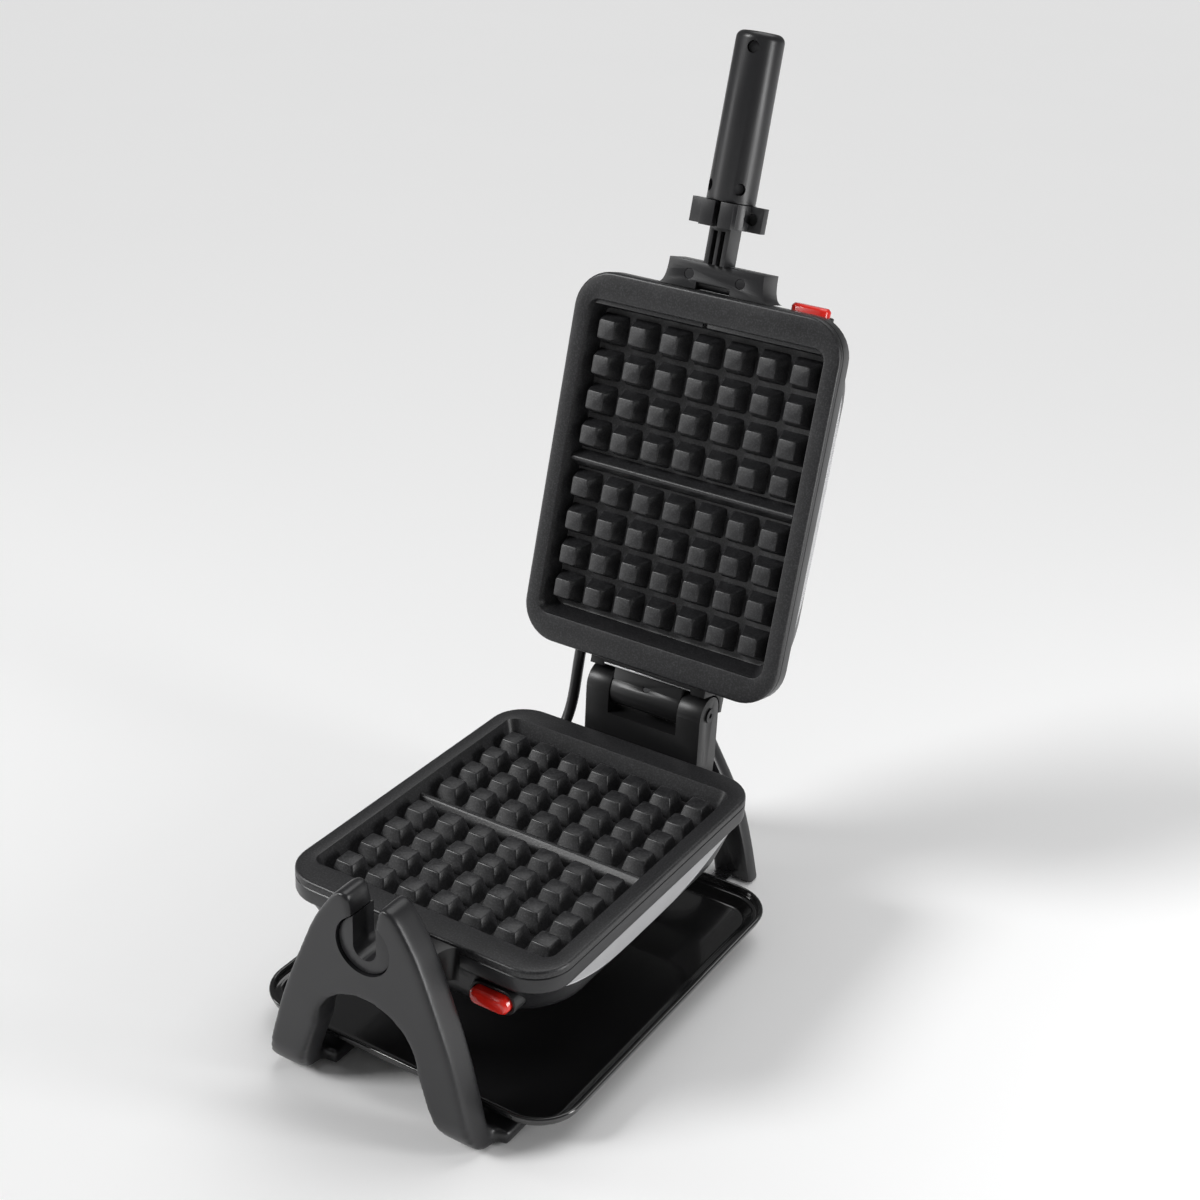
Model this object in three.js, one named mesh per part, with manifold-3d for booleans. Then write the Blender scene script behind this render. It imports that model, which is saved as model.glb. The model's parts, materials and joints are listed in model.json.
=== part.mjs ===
// Rotating waffle maker: two hinged baking halves that turn over in a wishbone stand,
// with lift-out cooking plates, press-in release buttons and a drip tray.
// Millimetres, +Z up, +X to the right, +Y from the front leg to the rear leg.
// It is drawn open, with the upper half leaning back on its hinge.

import * as THREE from "three";
import { mergeVertices } from "three/addons/utils/BufferGeometryUtils.js";
import Module from "manifold-3d";

const wasm = await Module();
wasm.setup();

// Clearances, and how far a cutting tool runs past the face that it cuts
const fitGap = 0.3;
const runningGap = 0.5;
const overrun = 1;

// Whole machine
const turnAxisHeight = 123;
const axisAboveParting = 8;
const openAngleDegrees = 104;
const partingHeight = turnAxisHeight - axisAboveParting;

// Cooking plate: its grid of pegs sets the size of the baking halves
const plate = {
  pegPitch: 24,
  pegColumns: 7,
  pegRowsEachSide: 4,
  firstRow: 17.9,
  pegBase: 19,
  pegTop: 12.5,
  pegHeight: 12.5,
  ridgeBase: 12,
  ridgeTop: 4,
  ridgeHeight: 9,
  endSpace: 4.1,
  wellCorner: 8,
  wellSlope: 5.5,
  wellDepth: 15.3,
  rimSide: 11,
  rimEnd: 19,
  flange: 5,
  edgeRound: 1.2,
  wall: 3,
};
const wellWidth = ((plate.pegColumns - 1) * plate.pegPitch + plate.pegBase) / 2 + plate.wellSlope;
const lastRow = plate.firstRow + (plate.pegRowsEachSide - 1) * plate.pegPitch;
const wellLength = lastRow + plate.pegBase / 2 + plate.endSpace + plate.wellSlope;
const halfWidth = wellWidth + plate.rimSide;
const halfLength = wellLength + plate.rimEnd;

// Baking half, measured from the parting plane towards its back
const half = {
  corner: 26,
  bandDepth: 16.5,
  depth: 50,
  wall: 2.5,
  bellyInset: 24,
  bellyCorner: 45,
  plateSplit: 1,
  innerRib: 2,
  innerRibWidth: 16,
};

// Belly of a housing: share of its depth below the band, of its inset, and of its corner growth
const bellyShares = [
  [0.03, 0.13, 0],
  [0.22, 0.21, 0.3],
  [0.46, 0.27, 0.63],
  [0.7, 0.35, 0.95],
  [0.85, 0.5, 1],
  [0.955, 0.72, 1],
  [1, 1, 0.95],
];

// Heating parts inside a half, by how far they stand in from its sides and ends
const heater = { radius: 3.25, sideMargin: 32, endMargin: 46, corner: 24, terminalGap: 13, lead: 14 };
const heaterWidth = halfWidth - heater.sideMargin;
const heaterLength = halfLength - heater.endMargin;
const reflector = { sideMargin: 18, endMargin: 36, corner: 20, thickness: 1.2 };
const reflectorWidth = halfWidth - reflector.sideMargin;
const reflectorLength = halfLength - reflector.endMargin;
const thermostat = { radius: 8, height: 6, beforeMiddle: 40 };
const post = { radius: 4, sideInset: 20, endInset: 22 };
const postX = reflectorWidth - post.sideInset;
const postY = reflectorLength - post.endInset;

// Release button, its bezel and spring
const button = {
  x: 60,
  depth: 28.5,
  length: 27,
  height: 11,
  tipReach: 4,
  capLength: 22,
  flangeProud: 2,
  flangeThickness: 1.5,
  travel: 3.5,
  edge: 1.5,
};
const buttonTip = halfLength + button.tipReach;
const buttonBack = buttonTip - button.capLength;
const bezel = { wall: 2.6, frontInset: 1.5 };
const bezelFront = halfLength - bezel.frontInset;
const bezelBack = buttonBack + fitGap;
const buttonFlangeFront = fitGap * 2 - bezelBack;
const buttonFlangeBack = buttonFlangeFront + button.flangeThickness;
const spring = { radius: 3.6, wire: 0.5, turns: 5, pressedLength: 6.5 };
const springStart = buttonFlangeBack + fitGap;
const springEnd = springStart + button.travel + spring.pressedLength;

// Lens-shaped ribbed panels on both sides of a housing
const sidePanel = {
  frontMargin: 23,
  rearMargin: 28,
  top: 17.8,
  endDepth: 2.2,
  sag: 24,
  thickness: 1.2,
};
const sidePanelFront = halfLength - sidePanel.frontMargin;
const sidePanelRear = halfLength - sidePanel.rearMargin;

// Hinge between the halves. Reaches are measured from the end of the baking half.
const hinge = {
  axisReach: 22.6,
  rise: 25.2,
  cheekRadius: 13,
  cheekOuter: 45,
  cheekInner: 27,
  windowRise: 9.5,
  bracketReach: 9.5,
  bracketBottom: 45,
  bottomReach: 22,
  waistReach: 32,
  bracketWaistDepth: 36,
  bracketShoulderDepth: 12,
  pinRadius: 4,
  pinHeadRadius: 5.2,
  pinProud: 1.2,
  socketRadius: 2,
  socketDepth: 4.2,
  barrelRadius: 12.3,
  bearingGap: 0.4,
};
const hingeY = halfLength + hinge.axisReach;
const hingeBracketFront = halfLength + hinge.bracketReach;
const hingeBracketBottomRear = halfLength + hinge.bottomReach;
const hingeBracketWaistRear = halfLength + hinge.waistReach;
const hood = { front: 12, plateReach: 5, roofGap: 1.3, roofThickness: 4, roofReach: 0.8 };
const hingePlateSeat = halfLength + hood.plateReach;
const hingePlate = { width: 34, top: 40, bottom: 12, thickness: 1.2 };
const arm = { top: 35, bottom: 15 };

// Rear axle that the lower half turns on, and the mains lead gland in it
const axle = {
  radius: 8,
  bore: 4.6,
  flangeRadius: 12,
  flange: 3,
  neck: 7.6,
  nutRadius: 12,
  nut: 6,
  stub: 3,
};
const axleStart = hingeY + hinge.cheekRadius + fitGap;
const rearLegFront = axleStart + axle.flange + axle.neck;
const gland = {
  flangeRadius: 7,
  flange: 2.5,
  coneRoot: 5.2,
  coneTip: 4.2,
  length: 7,
  bore: 2.6,
  boreDepth: 5,
  plug: 8,
};

// Front trunnion of the lower half, with the slot that takes the handle stem when the halves are shut
const trunnion = {
  discRadius: 18.7,
  discRecess: 2,
  discThickness: 19.5,
  stemGap: 0.7,
  slotBelowAxis: 10.5,
  bracketTop: 2,
  bracketBottom: 25,
  bracketRoot: 38,
  bracketTip: 30,
  bracketLength: 19.4,
  troughDepth: 14,
};
const trunnionEnd = halfLength + fitGap + trunnion.bracketLength;
const discBack = trunnionEnd + fitGap;
const legFront = discBack + trunnion.discThickness + trunnion.discRecess;

// Handle on the upper half
const handleBracket = {
  root: 41,
  tip: 34.6,
  length: 17.7,
  front: 4,
  back: 25,
  screwX: 18.7,
  screwReach: 9.5,
  notchWidth: 25,
  notchLength: 5,
  notchDepth: 10,
  bossRadius: 4,
  bossBehind: 12,
};
const handleBracketEnd = halfLength + fitGap + handleBracket.length;
const bracketScrewY = halfLength + handleBracket.screwReach;
const bracketScrew = { head: 3.3, headHeight: 1.6, shank: 1.7, length: 9 };
const barrelScrew = { head: 2.7, headHeight: 1.2, shank: 1.3, length: 5, frontAngleDegrees: 126 };
const stem = {
  halfWidth: 7.5,
  front: 0.5,
  back: 15.5,
  beforeLeg: 0.7,
  groove: 3.2,
  grooveDepth: 6,
  rib: 2.2,
  coreRadius: 11,
  coreLength: 99.5,
};
const stemEnd = legFront + stem.beforeLeg;
const trunnionSlot = stem.halfWidth + trunnion.stemGap;
const collar = {
  length: 16,
  block: 11.5,
  blockFront: 10,
  blockBack: 22,
  slot: 4,
  slotDepth: 7,
  wing: 26,
  wingFront: 4.5,
  wingThickness: 6.5,
  holeX: 18.5,
  holeRadius: 3.8,
  holeDepth: 4.5,
  radius: 16.5,
};
const collarStart = stemEnd + fitGap;
const collarEnd = collarStart + collar.length;
const grip = {
  length: 105.2,
  radius: 16,
  endRadius: 15.5,
  endRound: 5,
  axisBehind: 7.5,
  nearScrews: 8.8,
  farScrew: 95.5,
};
const gripStart = collarEnd + fitGap;
const gripBore = stem.coreRadius + fitGap;
const coreEnd = gripStart + stem.coreLength;
const gripScrew = { radius: 3.3, hole: 3.8, height: 1.6 };
// Grip screws: distance from the grip's open end, and angle round it from the plate's side
const gripScrews = [
  { from: grip.nearScrews, degrees: -45 },
  { from: grip.nearScrews, degrees: 42 },
  { from: grip.farScrew, degrees: 12 },
];

// Rear leg
const rearLeg = {
  thickness: 13.5,
  bevel: 3,
  halfSpan: 75,
  headRadius: 20,
  headShare: 0.09,
  archFoot: 46,
  bushWall: 2.2,
};
const rearLegBack = rearLegFront + rearLeg.thickness;
const rearLegMiddle = rearLegFront + rearLeg.thickness / 2;
const axleEnd = rearLegBack + fitGap + axle.nut + axle.stub;
// Outer edge of the rear leg, as shares of its half span and of the turn axis height
const rearEdgeShares = [
  [0.35, 0.92],
  [0.533, 0.74],
  [0.707, 0.561],
  [0.827, 0.407],
  [0.933, 0.187],
  [1, 0],
];

// Rails between the legs
const rail = {
  legInset: 13,
  width: 26,
  height: 6,
  rearGap: 24.5,
  tongue: 14,
  tongueWidth: 20,
  tongueHeight: 4.2,
  tongueBottom: 3.4,
  rearTongue: 9.5,
  rearTongueWidth: 12,
  rearTongueShift: 7,
  rearTongueHeight: 3.3,
};
const railX = rearLeg.halfSpan - rail.legInset;
const railRearEnd = rearLegFront - rail.rearGap;

// Front leg: a wishbone with a round pocket for the trunnion disc, and a sleeve over each rail
const leg = {
  thickness: 21.2,
  bevel: 4.5,
  halfSpan: 78,
  hornRise: 31,
  archWidth: 37,
  archFoot: 53,
  archHeight: 35,
  crown: 18.8,
  bend: 25,
  footHeight: 11,
  footProud: 1.2,
  sleeveInside: 20,
  sleeveOutside: 23,
  sleeveReach: 51.5,
};
const legHeight = turnAxisHeight + leg.hornRise;
const pocketRadius = trunnion.discRadius + runningGap;
const legGap = trunnionSlot + fitGap;
const archCentre = turnAxisHeight - pocketRadius - leg.crown - leg.archHeight;
const sleeveInner = railX - leg.sleeveInside;
const sleeveOuter = railX + leg.sleeveOutside;
const sleeveEnd = legFront - leg.sleeveReach;
// Outer edge of the front leg, as shares of its half span and height, from the horn to the foot
const legEdgeShares = [
  [0.17, 1],
  [0.26, 0.985],
  [0.375, 0.905],
  [0.48, 0.814],
  [0.615, 0.65],
  [0.78, 0.43],
  [0.91, 0.195],
  [1, 0],
];

// Rubber feet and the screws of the rear leg
const foot = { radius: 7, rearRadius: 4.8, height: 3, behindFront: 28.5, rearInset: 6 };
const frontFootY = legFront - foot.behindFront;
const rearFootX = rearLeg.halfSpan - foot.rearInset;
const legScrew = { inset: 15.8, height: 9.9, head: 3.2, headHeight: 1.8, shank: 1.6, length: 8 };
const legScrewX = rearLeg.halfSpan - legScrew.inset;

// Drip tray, which reaches past the baking halves all round
const tray = {
  sideOverhang: 15.5,
  endOverhang: 13,
  corner: 30,
  height: 12,
  sheet: 1.5,
  bead: 1.6,
  beadHeight: 2,
  step: 5.5,
  stepDepth: 5,
  wallSlope: 4.5,
};
const trayWidth = halfWidth + tray.sideOverhang;
const trayLength = halfLength + tray.endOverhang;
// Section of the tray's bead, as shares of the bead's height and width
const beadShares = { shoulderHeight: 1 / 3, crownOuter: 0.5, crownInner: 1.5 };

// Link cable between the halves and the boots that it runs out of
const cable = { radius: 4, sides: 8, steps: 30 };
const boot = { x: 62, lowerX: 66, upperDepth: 27, lowerDepth: 23, inside: 11, plug: 7, tail: 7 };
const bootInner = halfLength - boot.inside;
const bootPlugEnd = bootInner + boot.plug;
const bootEnd = bootPlugEnd + boot.tail;
const bootRadius = { plug: 6, tip: 4.8 };
// Route of the link cable with the upper half open, from the upper boot to the lower one
const cablePoints = [
  [-62, 157, 158.4],
  [-62, 155.3, 151.6],
  [-62.3, 154.2, 144.5],
  [-62.9, 153.6, 136],
  [-63.6, 153, 127],
  [-64.4, 152.2, 118],
  [-65.2, 150.2, 109],
  [-65.8, 146.2, 101],
  [-66, 141.2, 94.8],
  [-66, 136.4, 92.4],
  [-66, 131.5, 92],
];

const colours = {
  black: 0x1d1d1f,
  darkGrey: 0x2b2b2d,
  coating: 0x333335,
  enamel: 0x0e0e10,
  panel: 0x9a9a9c,
  steel: 0xb9b9bb,
  red: 0xc81414,
  rubber: 0x141414,
};

// Materials

function finish(color, roughness, metalness) {
  return new THREE.MeshStandardMaterial({ color, roughness, metalness });
}

const plastic = () => finish(colours.black, 0.5, 0);
const satinPlastic = () => finish(colours.darkGrey, 0.4, 0);
const greyPlastic = () => finish(colours.panel, 0.6, 0);
const coated = () => finish(colours.coating, 0.45, 0.3);
const steel = () => finish(colours.steel, 0.3, 1);
const rubber = () => finish(colours.rubber, 0.8, 0);

// Solids

function solidOf(geometry) {
  const bare = geometry.clone();
  bare.deleteAttribute("normal");
  bare.deleteAttribute("uv");
  const merged = mergeVertices(bare);
  return new wasm.Manifold(
    new wasm.Mesh({
      numProp: 3,
      vertProperties: new Float32Array(merged.attributes.position.array),
      triVerts: new Uint32Array(merged.index.array),
    }),
  );
}

function geometryOf(solid) {
  const mesh = solid.getMesh();
  const geometry = new THREE.BufferGeometry();
  geometry.setAttribute("position", new THREE.BufferAttribute(mesh.vertProperties, 3));
  geometry.setIndex(new THREE.BufferAttribute(mesh.triVerts, 1));
  geometry.computeVertexNormals();
  return geometry;
}

function joined(...geometries) {
  return geometryOf(geometries.map(solidOf).reduce((sum, solid) => sum.add(solid)));
}

function cut(base, ...tools) {
  return geometryOf(tools.map(solidOf).reduce((rest, tool) => rest.subtract(tool), solidOf(base)));
}

function common(base, ...others) {
  return geometryOf(others.map(solidOf).reduce((rest, other) => rest.intersect(other), solidOf(base)));
}

// A box between two values on each axis
function block([x0, x1], [y0, y1], [z0, z1]) {
  const geometry = new THREE.BoxGeometry(x1 - x0, y1 - y0, z1 - z0);
  return geometry.translate((x0 + x1) / 2, (y0 + y1) / 2, (z0 + z1) / 2);
}

function cylinderX(radius, [x0, x1], y, z, sides = 24) {
  const geometry = new THREE.CylinderGeometry(radius, radius, x1 - x0, sides);
  return geometry.rotateZ(Math.PI / 2).translate((x0 + x1) / 2, y, z);
}

function cylinderY(radius, [y0, y1], x, z, sides = 24) {
  const geometry = new THREE.CylinderGeometry(radius, radius, y1 - y0, sides);
  return geometry.translate(x, (y0 + y1) / 2, z);
}

function cylinderZ(radius, [z0, z1], x, y, sides = 24) {
  const geometry = new THREE.CylinderGeometry(radius, radius, z1 - z0, sides);
  return geometry.rotateX(Math.PI / 2).translate(x, y, (z0 + z1) / 2);
}

// A shape drawn in x and z, from y = front to y = back
function prismY(shape, front, back, bevel = 0, bevelSegments = 2) {
  const geometry = new THREE.ExtrudeGeometry(shape, {
    depth: back - front - 2 * bevel,
    curveSegments: 6,
    bevelEnabled: bevel > 0,
    bevelThickness: bevel,
    bevelSize: bevel,
    bevelOffset: -bevel,
    bevelSegments,
  });
  return geometry.rotateX(Math.PI / 2).translate(0, back - bevel, 0);
}

// A shape drawn in y and z, from x = left to x = right
function prismX(shape, left, right) {
  const geometry = new THREE.ExtrudeGeometry(shape, {
    depth: right - left,
    curveSegments: 8,
    bevelEnabled: false,
  });
  const turn = new THREE.Matrix4().makeBasis(
    new THREE.Vector3(0, 1, 0),
    new THREE.Vector3(0, 0, 1),
    new THREE.Vector3(1, 0, 0),
  );
  return geometry.applyMatrix4(turn).translate(left, 0, 0);
}

// A shape drawn in x and y, from z = bottom to z = top
function prismZ(shape, bottom, top) {
  const options = { depth: top - bottom, curveSegments: 8, bevelEnabled: false };
  return new THREE.ExtrudeGeometry(shape, options).translate(0, 0, bottom);
}

function polygon(points) {
  return new THREE.Shape(points.map(([a, b]) => new THREE.Vector2(a, b)));
}

// Points of a rectangle with round corners, anticlockwise from above
function roundedRectangle(halfX, halfY, radius, cornerSteps) {
  const corners = [
    [halfX - radius, halfY - radius, 0],
    [radius - halfX, halfY - radius, 1],
    [radius - halfX, radius - halfY, 2],
    [halfX - radius, radius - halfY, 3],
  ];
  return corners.flatMap(([x, y, quarter]) =>
    Array.from({ length: cornerSteps + 1 }, (_, i) => {
      const angle = ((quarter + i / cornerSteps) * Math.PI) / 2;
      return [x + radius * Math.cos(angle), y + radius * Math.sin(angle)];
    }),
  );
}

// A closed body from rings of equal point counts, capped at the first and the last ring.
// The rings run up the outside, and for a hollow body down the inside again.
function ringBody(rings, cornerSteps = 4) {
  const loops = rings.map((ring) =>
    roundedRectangle(ring.x, ring.y, ring.r, cornerSteps).map(([x, y]) => [x, y, ring.z]),
  );
  const count = loops[0].length;
  const vertices = [...loops.flat(), [0, 0, rings[0].z], [0, 0, rings[rings.length - 1].z]];
  const firstCentre = loops.length * count;
  const triangles = [];
  for (let i = 0; i < count; i += 1) {
    const next = (i + 1) % count;
    triangles.push(firstCentre, next, i);
    for (let level = 0; level + 1 < loops.length; level += 1) {
      const low = level * count;
      const high = low + count;
      triangles.push(low + i, low + next, high + next, low + i, high + next, high + i);
    }
    const last = (loops.length - 1) * count;
    triangles.push(firstCentre + 1, last + i, last + next);
  }
  const geometry = new THREE.BufferGeometry();
  geometry.setAttribute("position", new THREE.Float32BufferAttribute(vertices.flat(), 3));
  geometry.setIndex(triangles);
  geometry.computeVertexNormals();
  return geometry;
}

// A tube along points, with a flat end at each
function tubeAlong(points, radius, sides, steps) {
  const path = new THREE.CatmullRomCurve3(points.map((point) => new THREE.Vector3(...point)));
  const section = polygon(
    Array.from({ length: sides }, (_, i) => {
      const angle = (i / sides) * Math.PI * 2;
      return [radius * Math.cos(angle), radius * Math.sin(angle)];
    }),
  );
  return new THREE.ExtrudeGeometry(section, { steps, extrudePath: path, bevelEnabled: false });
}

// A turned body about Y: profile points are (distance along -Y from the start, radius)
function turnedForward(profile, start, x, z, sides = 24) {
  const points = profile.map(([along, radius]) => new THREE.Vector2(radius, along));
  const geometry = new THREE.LatheGeometry(points, sides);
  return geometry.rotateX(Math.PI).translate(x, -start, z);
}

// A cheese-head screw along -Z with its head face at z = 0, or with a gap the pocket that it sits in
function screwBody(size, gap = 0) {
  const headDepth = size.headHeight + gap;
  const points = [
    [0, -size.length - gap],
    [size.shank + gap, -size.length - gap],
    [size.shank + gap, -headDepth],
    [size.head + gap, -headDepth],
    [size.head + gap, gap > 0 ? overrun : 0],
    [0, gap > 0 ? overrun : 0],
  ];
  const geometry = new THREE.LatheGeometry(points.map(([r, z]) => new THREE.Vector2(r, z)), 10);
  return geometry.rotateX(Math.PI / 2);
}

// Pieces of a baking half. Their parting plane is z = 0 and they lie below it, front at -Y.

function bellyRings(inset) {
  return bellyShares.map(([depthShare, insetShare, cornerShare]) => ({
    x: halfWidth - insetShare * half.bellyInset - inset,
    y: halfLength - insetShare * half.bellyInset - inset,
    r: half.corner + cornerShare * (half.bellyCorner - half.corner) - inset,
    z: -half.bandDepth - depthShare * (half.depth - half.bandDepth),
  }));
}

// How far the housing stands in from the full outline at a depth below the parting plane
function insetAt(depth) {
  if (depth <= half.bandDepth) {
    return 0;
  }
  const rows = [[0, 0], ...bellyShares].map(([depthShare, insetShare]) => [
    half.bandDepth + depthShare * (half.depth - half.bandDepth),
    insetShare * half.bellyInset,
  ]);
  const upper = rows.findIndex(([rowDepth]) => rowDepth >= depth);
  const [d0, i0] = rows[upper - 1];
  const [d1, i1] = rows[upper];
  return i0 + ((i1 - i0) * (depth - d0)) / (d1 - d0);
}

const flangeTop = -half.plateSplit / 2;
const flangeBottom = flangeTop - plate.flange;
const housingTop = flangeBottom - fitGap;
const wellFloor = flangeTop - plate.wellDepth;
const tubBottom = wellFloor - plate.wall;
const heaterCentre = tubBottom - fitGap - heater.radius;
const reflectorTop = heaterCentre - heater.radius - fitGap;
const reflectorBottom = reflectorTop - reflector.thickness;
const innerFloor = -half.depth + half.wall;

function bellySolid(inset) {
  return ringBody(bellyRings(inset).reverse());
}

function stadium(length, height) {
  const shape = new THREE.Shape();
  const reach = (length - height) / 2;
  shape.absarc(reach, 0, height / 2, -Math.PI / 2, Math.PI / 2, false);
  shape.absarc(-reach, 0, height / 2, Math.PI / 2, (3 * Math.PI) / 2, false);
  return shape;
}

// Lens outline of a side panel in y and z, grown by a margin
function lens(margin) {
  const top = -sidePanel.top + margin;
  const end = -sidePanel.top - sidePanel.endDepth - margin;
  const middle = (sidePanelRear - sidePanelFront) / 2;
  const shape = new THREE.Shape();
  shape.moveTo(-sidePanelFront - margin, top);
  shape.lineTo(-sidePanelFront - margin, end);
  shape.quadraticCurveTo(middle, end - 2 * sidePanel.sag, sidePanelRear + margin, end);
  shape.lineTo(sidePanelRear + margin, top);
  return shape;
}

// The lens prism on one side: side is 1 for +X and -1 for -X
function lensPrism(side, margin) {
  const inner = side > 0 ? 0 : -halfWidth - overrun;
  const outer = side > 0 ? halfWidth + overrun : 0;
  return prismX(lens(margin), inner, outer);
}

function sidePanelGeometry(side) {
  return cut(common(lensPrism(side, 0), bellySolid(0)), bellySolid(sidePanel.thickness));
}

function housingGeometry(buttonX, bootX, bootDepth) {
  const outer = bellyRings(0).reverse();
  const inner = bellyRings(half.wall).slice(0, -2);
  const floor = { ...bellyRings(half.wall)[bellyShares.length - 2], z: innerFloor };
  const band = { x: halfWidth, y: halfLength, r: half.corner };
  const bandInner = { x: halfWidth - half.wall, y: halfLength - half.wall, r: half.corner - half.wall };
  const shell = ringBody([
    ...outer,
    { ...band, z: -half.bandDepth },
    { ...band, z: housingTop },
    { ...bandInner, z: housingTop },
    { ...bandInner, z: -half.bandDepth + half.wall },
    ...inner,
    floor,
  ]);
  const seat = -half.depth + half.wall / 2;
  const posts = [
    [postX, postY],
    [-postX, postY],
    [postX, -postY],
    [-postX, -postY],
  ].map(([x, y]) => cylinderZ(post.radius, [seat, reflectorBottom - fitGap], x, y, 8));
  const thermostatBottom = reflectorBottom - fitGap - thermostat.height;
  const thermostatPost = cylinderZ(
    post.radius,
    [seat, thermostatBottom - fitGap],
    0,
    -thermostat.beforeMiddle,
    8,
  );
  const ribY = springEnd + fitGap;
  const rib = block(
    [buttonX - half.innerRibWidth / 2, buttonX + half.innerRibWidth / 2],
    [ribY, ribY + half.innerRib],
    [seat, -button.depth + spring.radius + spring.wire],
  );
  const buttonHole = prismY(
    stadium(button.length + 2 * bezel.wall + 2 * fitGap, button.height + 2 * bezel.wall + 2 * fitGap),
    -halfLength - overrun,
    -buttonBack + half.wall,
  ).translate(buttonX, 0, -button.depth);
  const bootHole = cylinderY(
    bootRadius.plug + fitGap,
    [bootInner - overrun, halfLength + overrun],
    bootX,
    -bootDepth,
    16,
  );
  const pockets = [1, -1].map((side) =>
    cut(lensPrism(side, fitGap), bellySolid(sidePanel.thickness + fitGap)),
  );
  return cut(joined(shell, ...posts, thermostatPost, rib), buttonHole, bootHole, ...pockets);
}

// The underside of the well, one wall away from its sloping inside at a depth below the flange's top
function tubRing(depth, z) {
  const inset = (plate.wellSlope * depth) / plate.wellDepth - plate.wall;
  return { x: wellWidth - inset, y: wellLength - inset, r: plate.wellCorner + plate.wall, z };
}

function plateGeometry() {
  const outer = { x: halfWidth, y: halfLength, r: half.corner };
  const rounded = {
    x: halfWidth - plate.edgeRound,
    y: halfLength - plate.edgeRound,
    r: half.corner - plate.edgeRound,
  };
  const body = ringBody(
    [
      tubRing(plate.wellDepth, tubBottom),
      tubRing(plate.flange, flangeBottom),
      { ...outer, z: flangeBottom },
      { ...outer, z: flangeTop - plate.edgeRound },
      { ...rounded, z: flangeTop },
      { x: wellWidth, y: wellLength, r: plate.wellCorner, z: flangeTop },
      {
        x: wellWidth - plate.wellSlope,
        y: wellLength - plate.wellSlope,
        r: plate.wellCorner - plate.wellSlope / 2,
        z: wellFloor,
      },
    ],
    3,
  );
  const sink = plate.wall / 2;
  const pegs = [];
  const middleColumn = (plate.pegColumns - 1) / 2;
  for (let column = 0; column < plate.pegColumns; column += 1) {
    for (let row = 0; row < plate.pegRowsEachSide; row += 1) {
      for (const side of [1, -1]) {
        const x = (column - middleColumn) * plate.pegPitch;
        const y = side * (plate.firstRow + row * plate.pegPitch);
        pegs.push(frustum(plate.pegBase, plate.pegTop, plate.pegHeight, sink).translate(x, y, wellFloor));
      }
    }
  }
  const slope = (plate.ridgeBase - plate.ridgeTop) / 2 / plate.ridgeHeight;
  const root = plate.ridgeBase / 2 + slope * sink;
  const ridge = prismX(
    polygon([
      [-root, wellFloor - sink],
      [root, wellFloor - sink],
      [plate.ridgeTop / 2, wellFloor + plate.ridgeHeight],
      [-plate.ridgeTop / 2, wellFloor + plate.ridgeHeight],
    ]),
    plate.wellSlope / 2 - wellWidth,
    wellWidth - plate.wellSlope / 2,
  );
  return joined(body, ridge, ...pegs);
}

// A square peg that narrows upwards, standing on z = 0 and sunk below it
function frustum(base, top, height, sink) {
  const slope = (base - top) / 2 / height;
  const low = base / 2 + slope * sink;
  const geometry = new THREE.BoxGeometry(2 * low, 2 * low, height + sink);
  geometry.translate(0, 0, (height - sink) / 2);
  const position = geometry.attributes.position;
  for (let i = 0; i < position.count; i += 1) {
    if (position.getZ(i) > 0) {
      position.setX(i, (position.getX(i) / low) * (top / 2));
      position.setY(i, (position.getY(i) / low) * (top / 2));
    }
  }
  return geometry;
}

// The tubular element: a round-cornered loop, open at the rear where its leads turn down
function heaterGeometry() {
  const loop = roundedRectangle(heaterWidth, heaterLength, heater.corner, 3);
  const lead = heater.terminalGap;
  const points = [
    [-lead, heaterLength - heater.lead],
    [-lead, heaterLength],
    ...loop.slice(4, 8),
    ...loop.slice(8, 12),
    ...loop.slice(12, 16),
    ...loop.slice(0, 4),
    [lead, heaterLength],
    [lead, heaterLength - heater.lead],
  ];
  return tubeAlong(points.map(([x, y]) => [x, y, heaterCentre]), heater.radius, 6, 36);
}

function reflectorGeometry() {
  const sheet = { x: reflectorWidth, y: reflectorLength, r: reflector.corner };
  return ringBody([{ ...sheet, z: reflectorBottom }, { ...sheet, z: reflectorTop }], 3);
}

function thermostatGeometry() {
  const top = reflectorBottom - fitGap;
  return cylinderZ(thermostat.radius, [top - thermostat.height, top], 0, -thermostat.beforeMiddle, 20);
}

function buttonGeometry(buttonX) {
  const cap = prismY(stadium(button.length, button.height), -buttonTip, -buttonBack, button.edge, 1);
  const flange = prismY(
    stadium(button.length + 2 * button.flangeProud, button.height + 2 * button.flangeProud),
    buttonFlangeFront,
    buttonFlangeBack,
  );
  const neck = prismY(
    stadium(button.length - 2 * button.edge, button.height - 2 * button.edge),
    -buttonBack - button.edge - overrun,
    (buttonFlangeFront + buttonFlangeBack) / 2,
  );
  return joined(cap, flange, neck).translate(buttonX, 0, -button.depth);
}

function bezelGeometry(buttonX) {
  const outer = stadium(button.length + 2 * bezel.wall, button.height + 2 * bezel.wall);
  const inner = stadium(button.length + 2 * fitGap, button.height + 2 * fitGap);
  const ring = cut(
    prismY(outer, -bezelFront, -bezelBack),
    prismY(inner, -bezelFront - overrun, -bezelBack + overrun),
  );
  return ring.translate(buttonX, 0, -button.depth);
}

function springGeometry(buttonX) {
  const start = springStart + spring.wire;
  const end = springEnd - spring.wire;
  const stepsPerTurn = 8;
  const count = spring.turns * stepsPerTurn;
  const points = Array.from({ length: count + 1 }, (_, i) => {
    const angle = (i / stepsPerTurn) * Math.PI * 2;
    return [
      buttonX + spring.radius * Math.cos(angle),
      start + ((end - start) * i) / count,
      -button.depth + spring.radius * Math.sin(angle),
    ];
  });
  return tubeAlong(points, spring.wire, 5, count);
}

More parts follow.
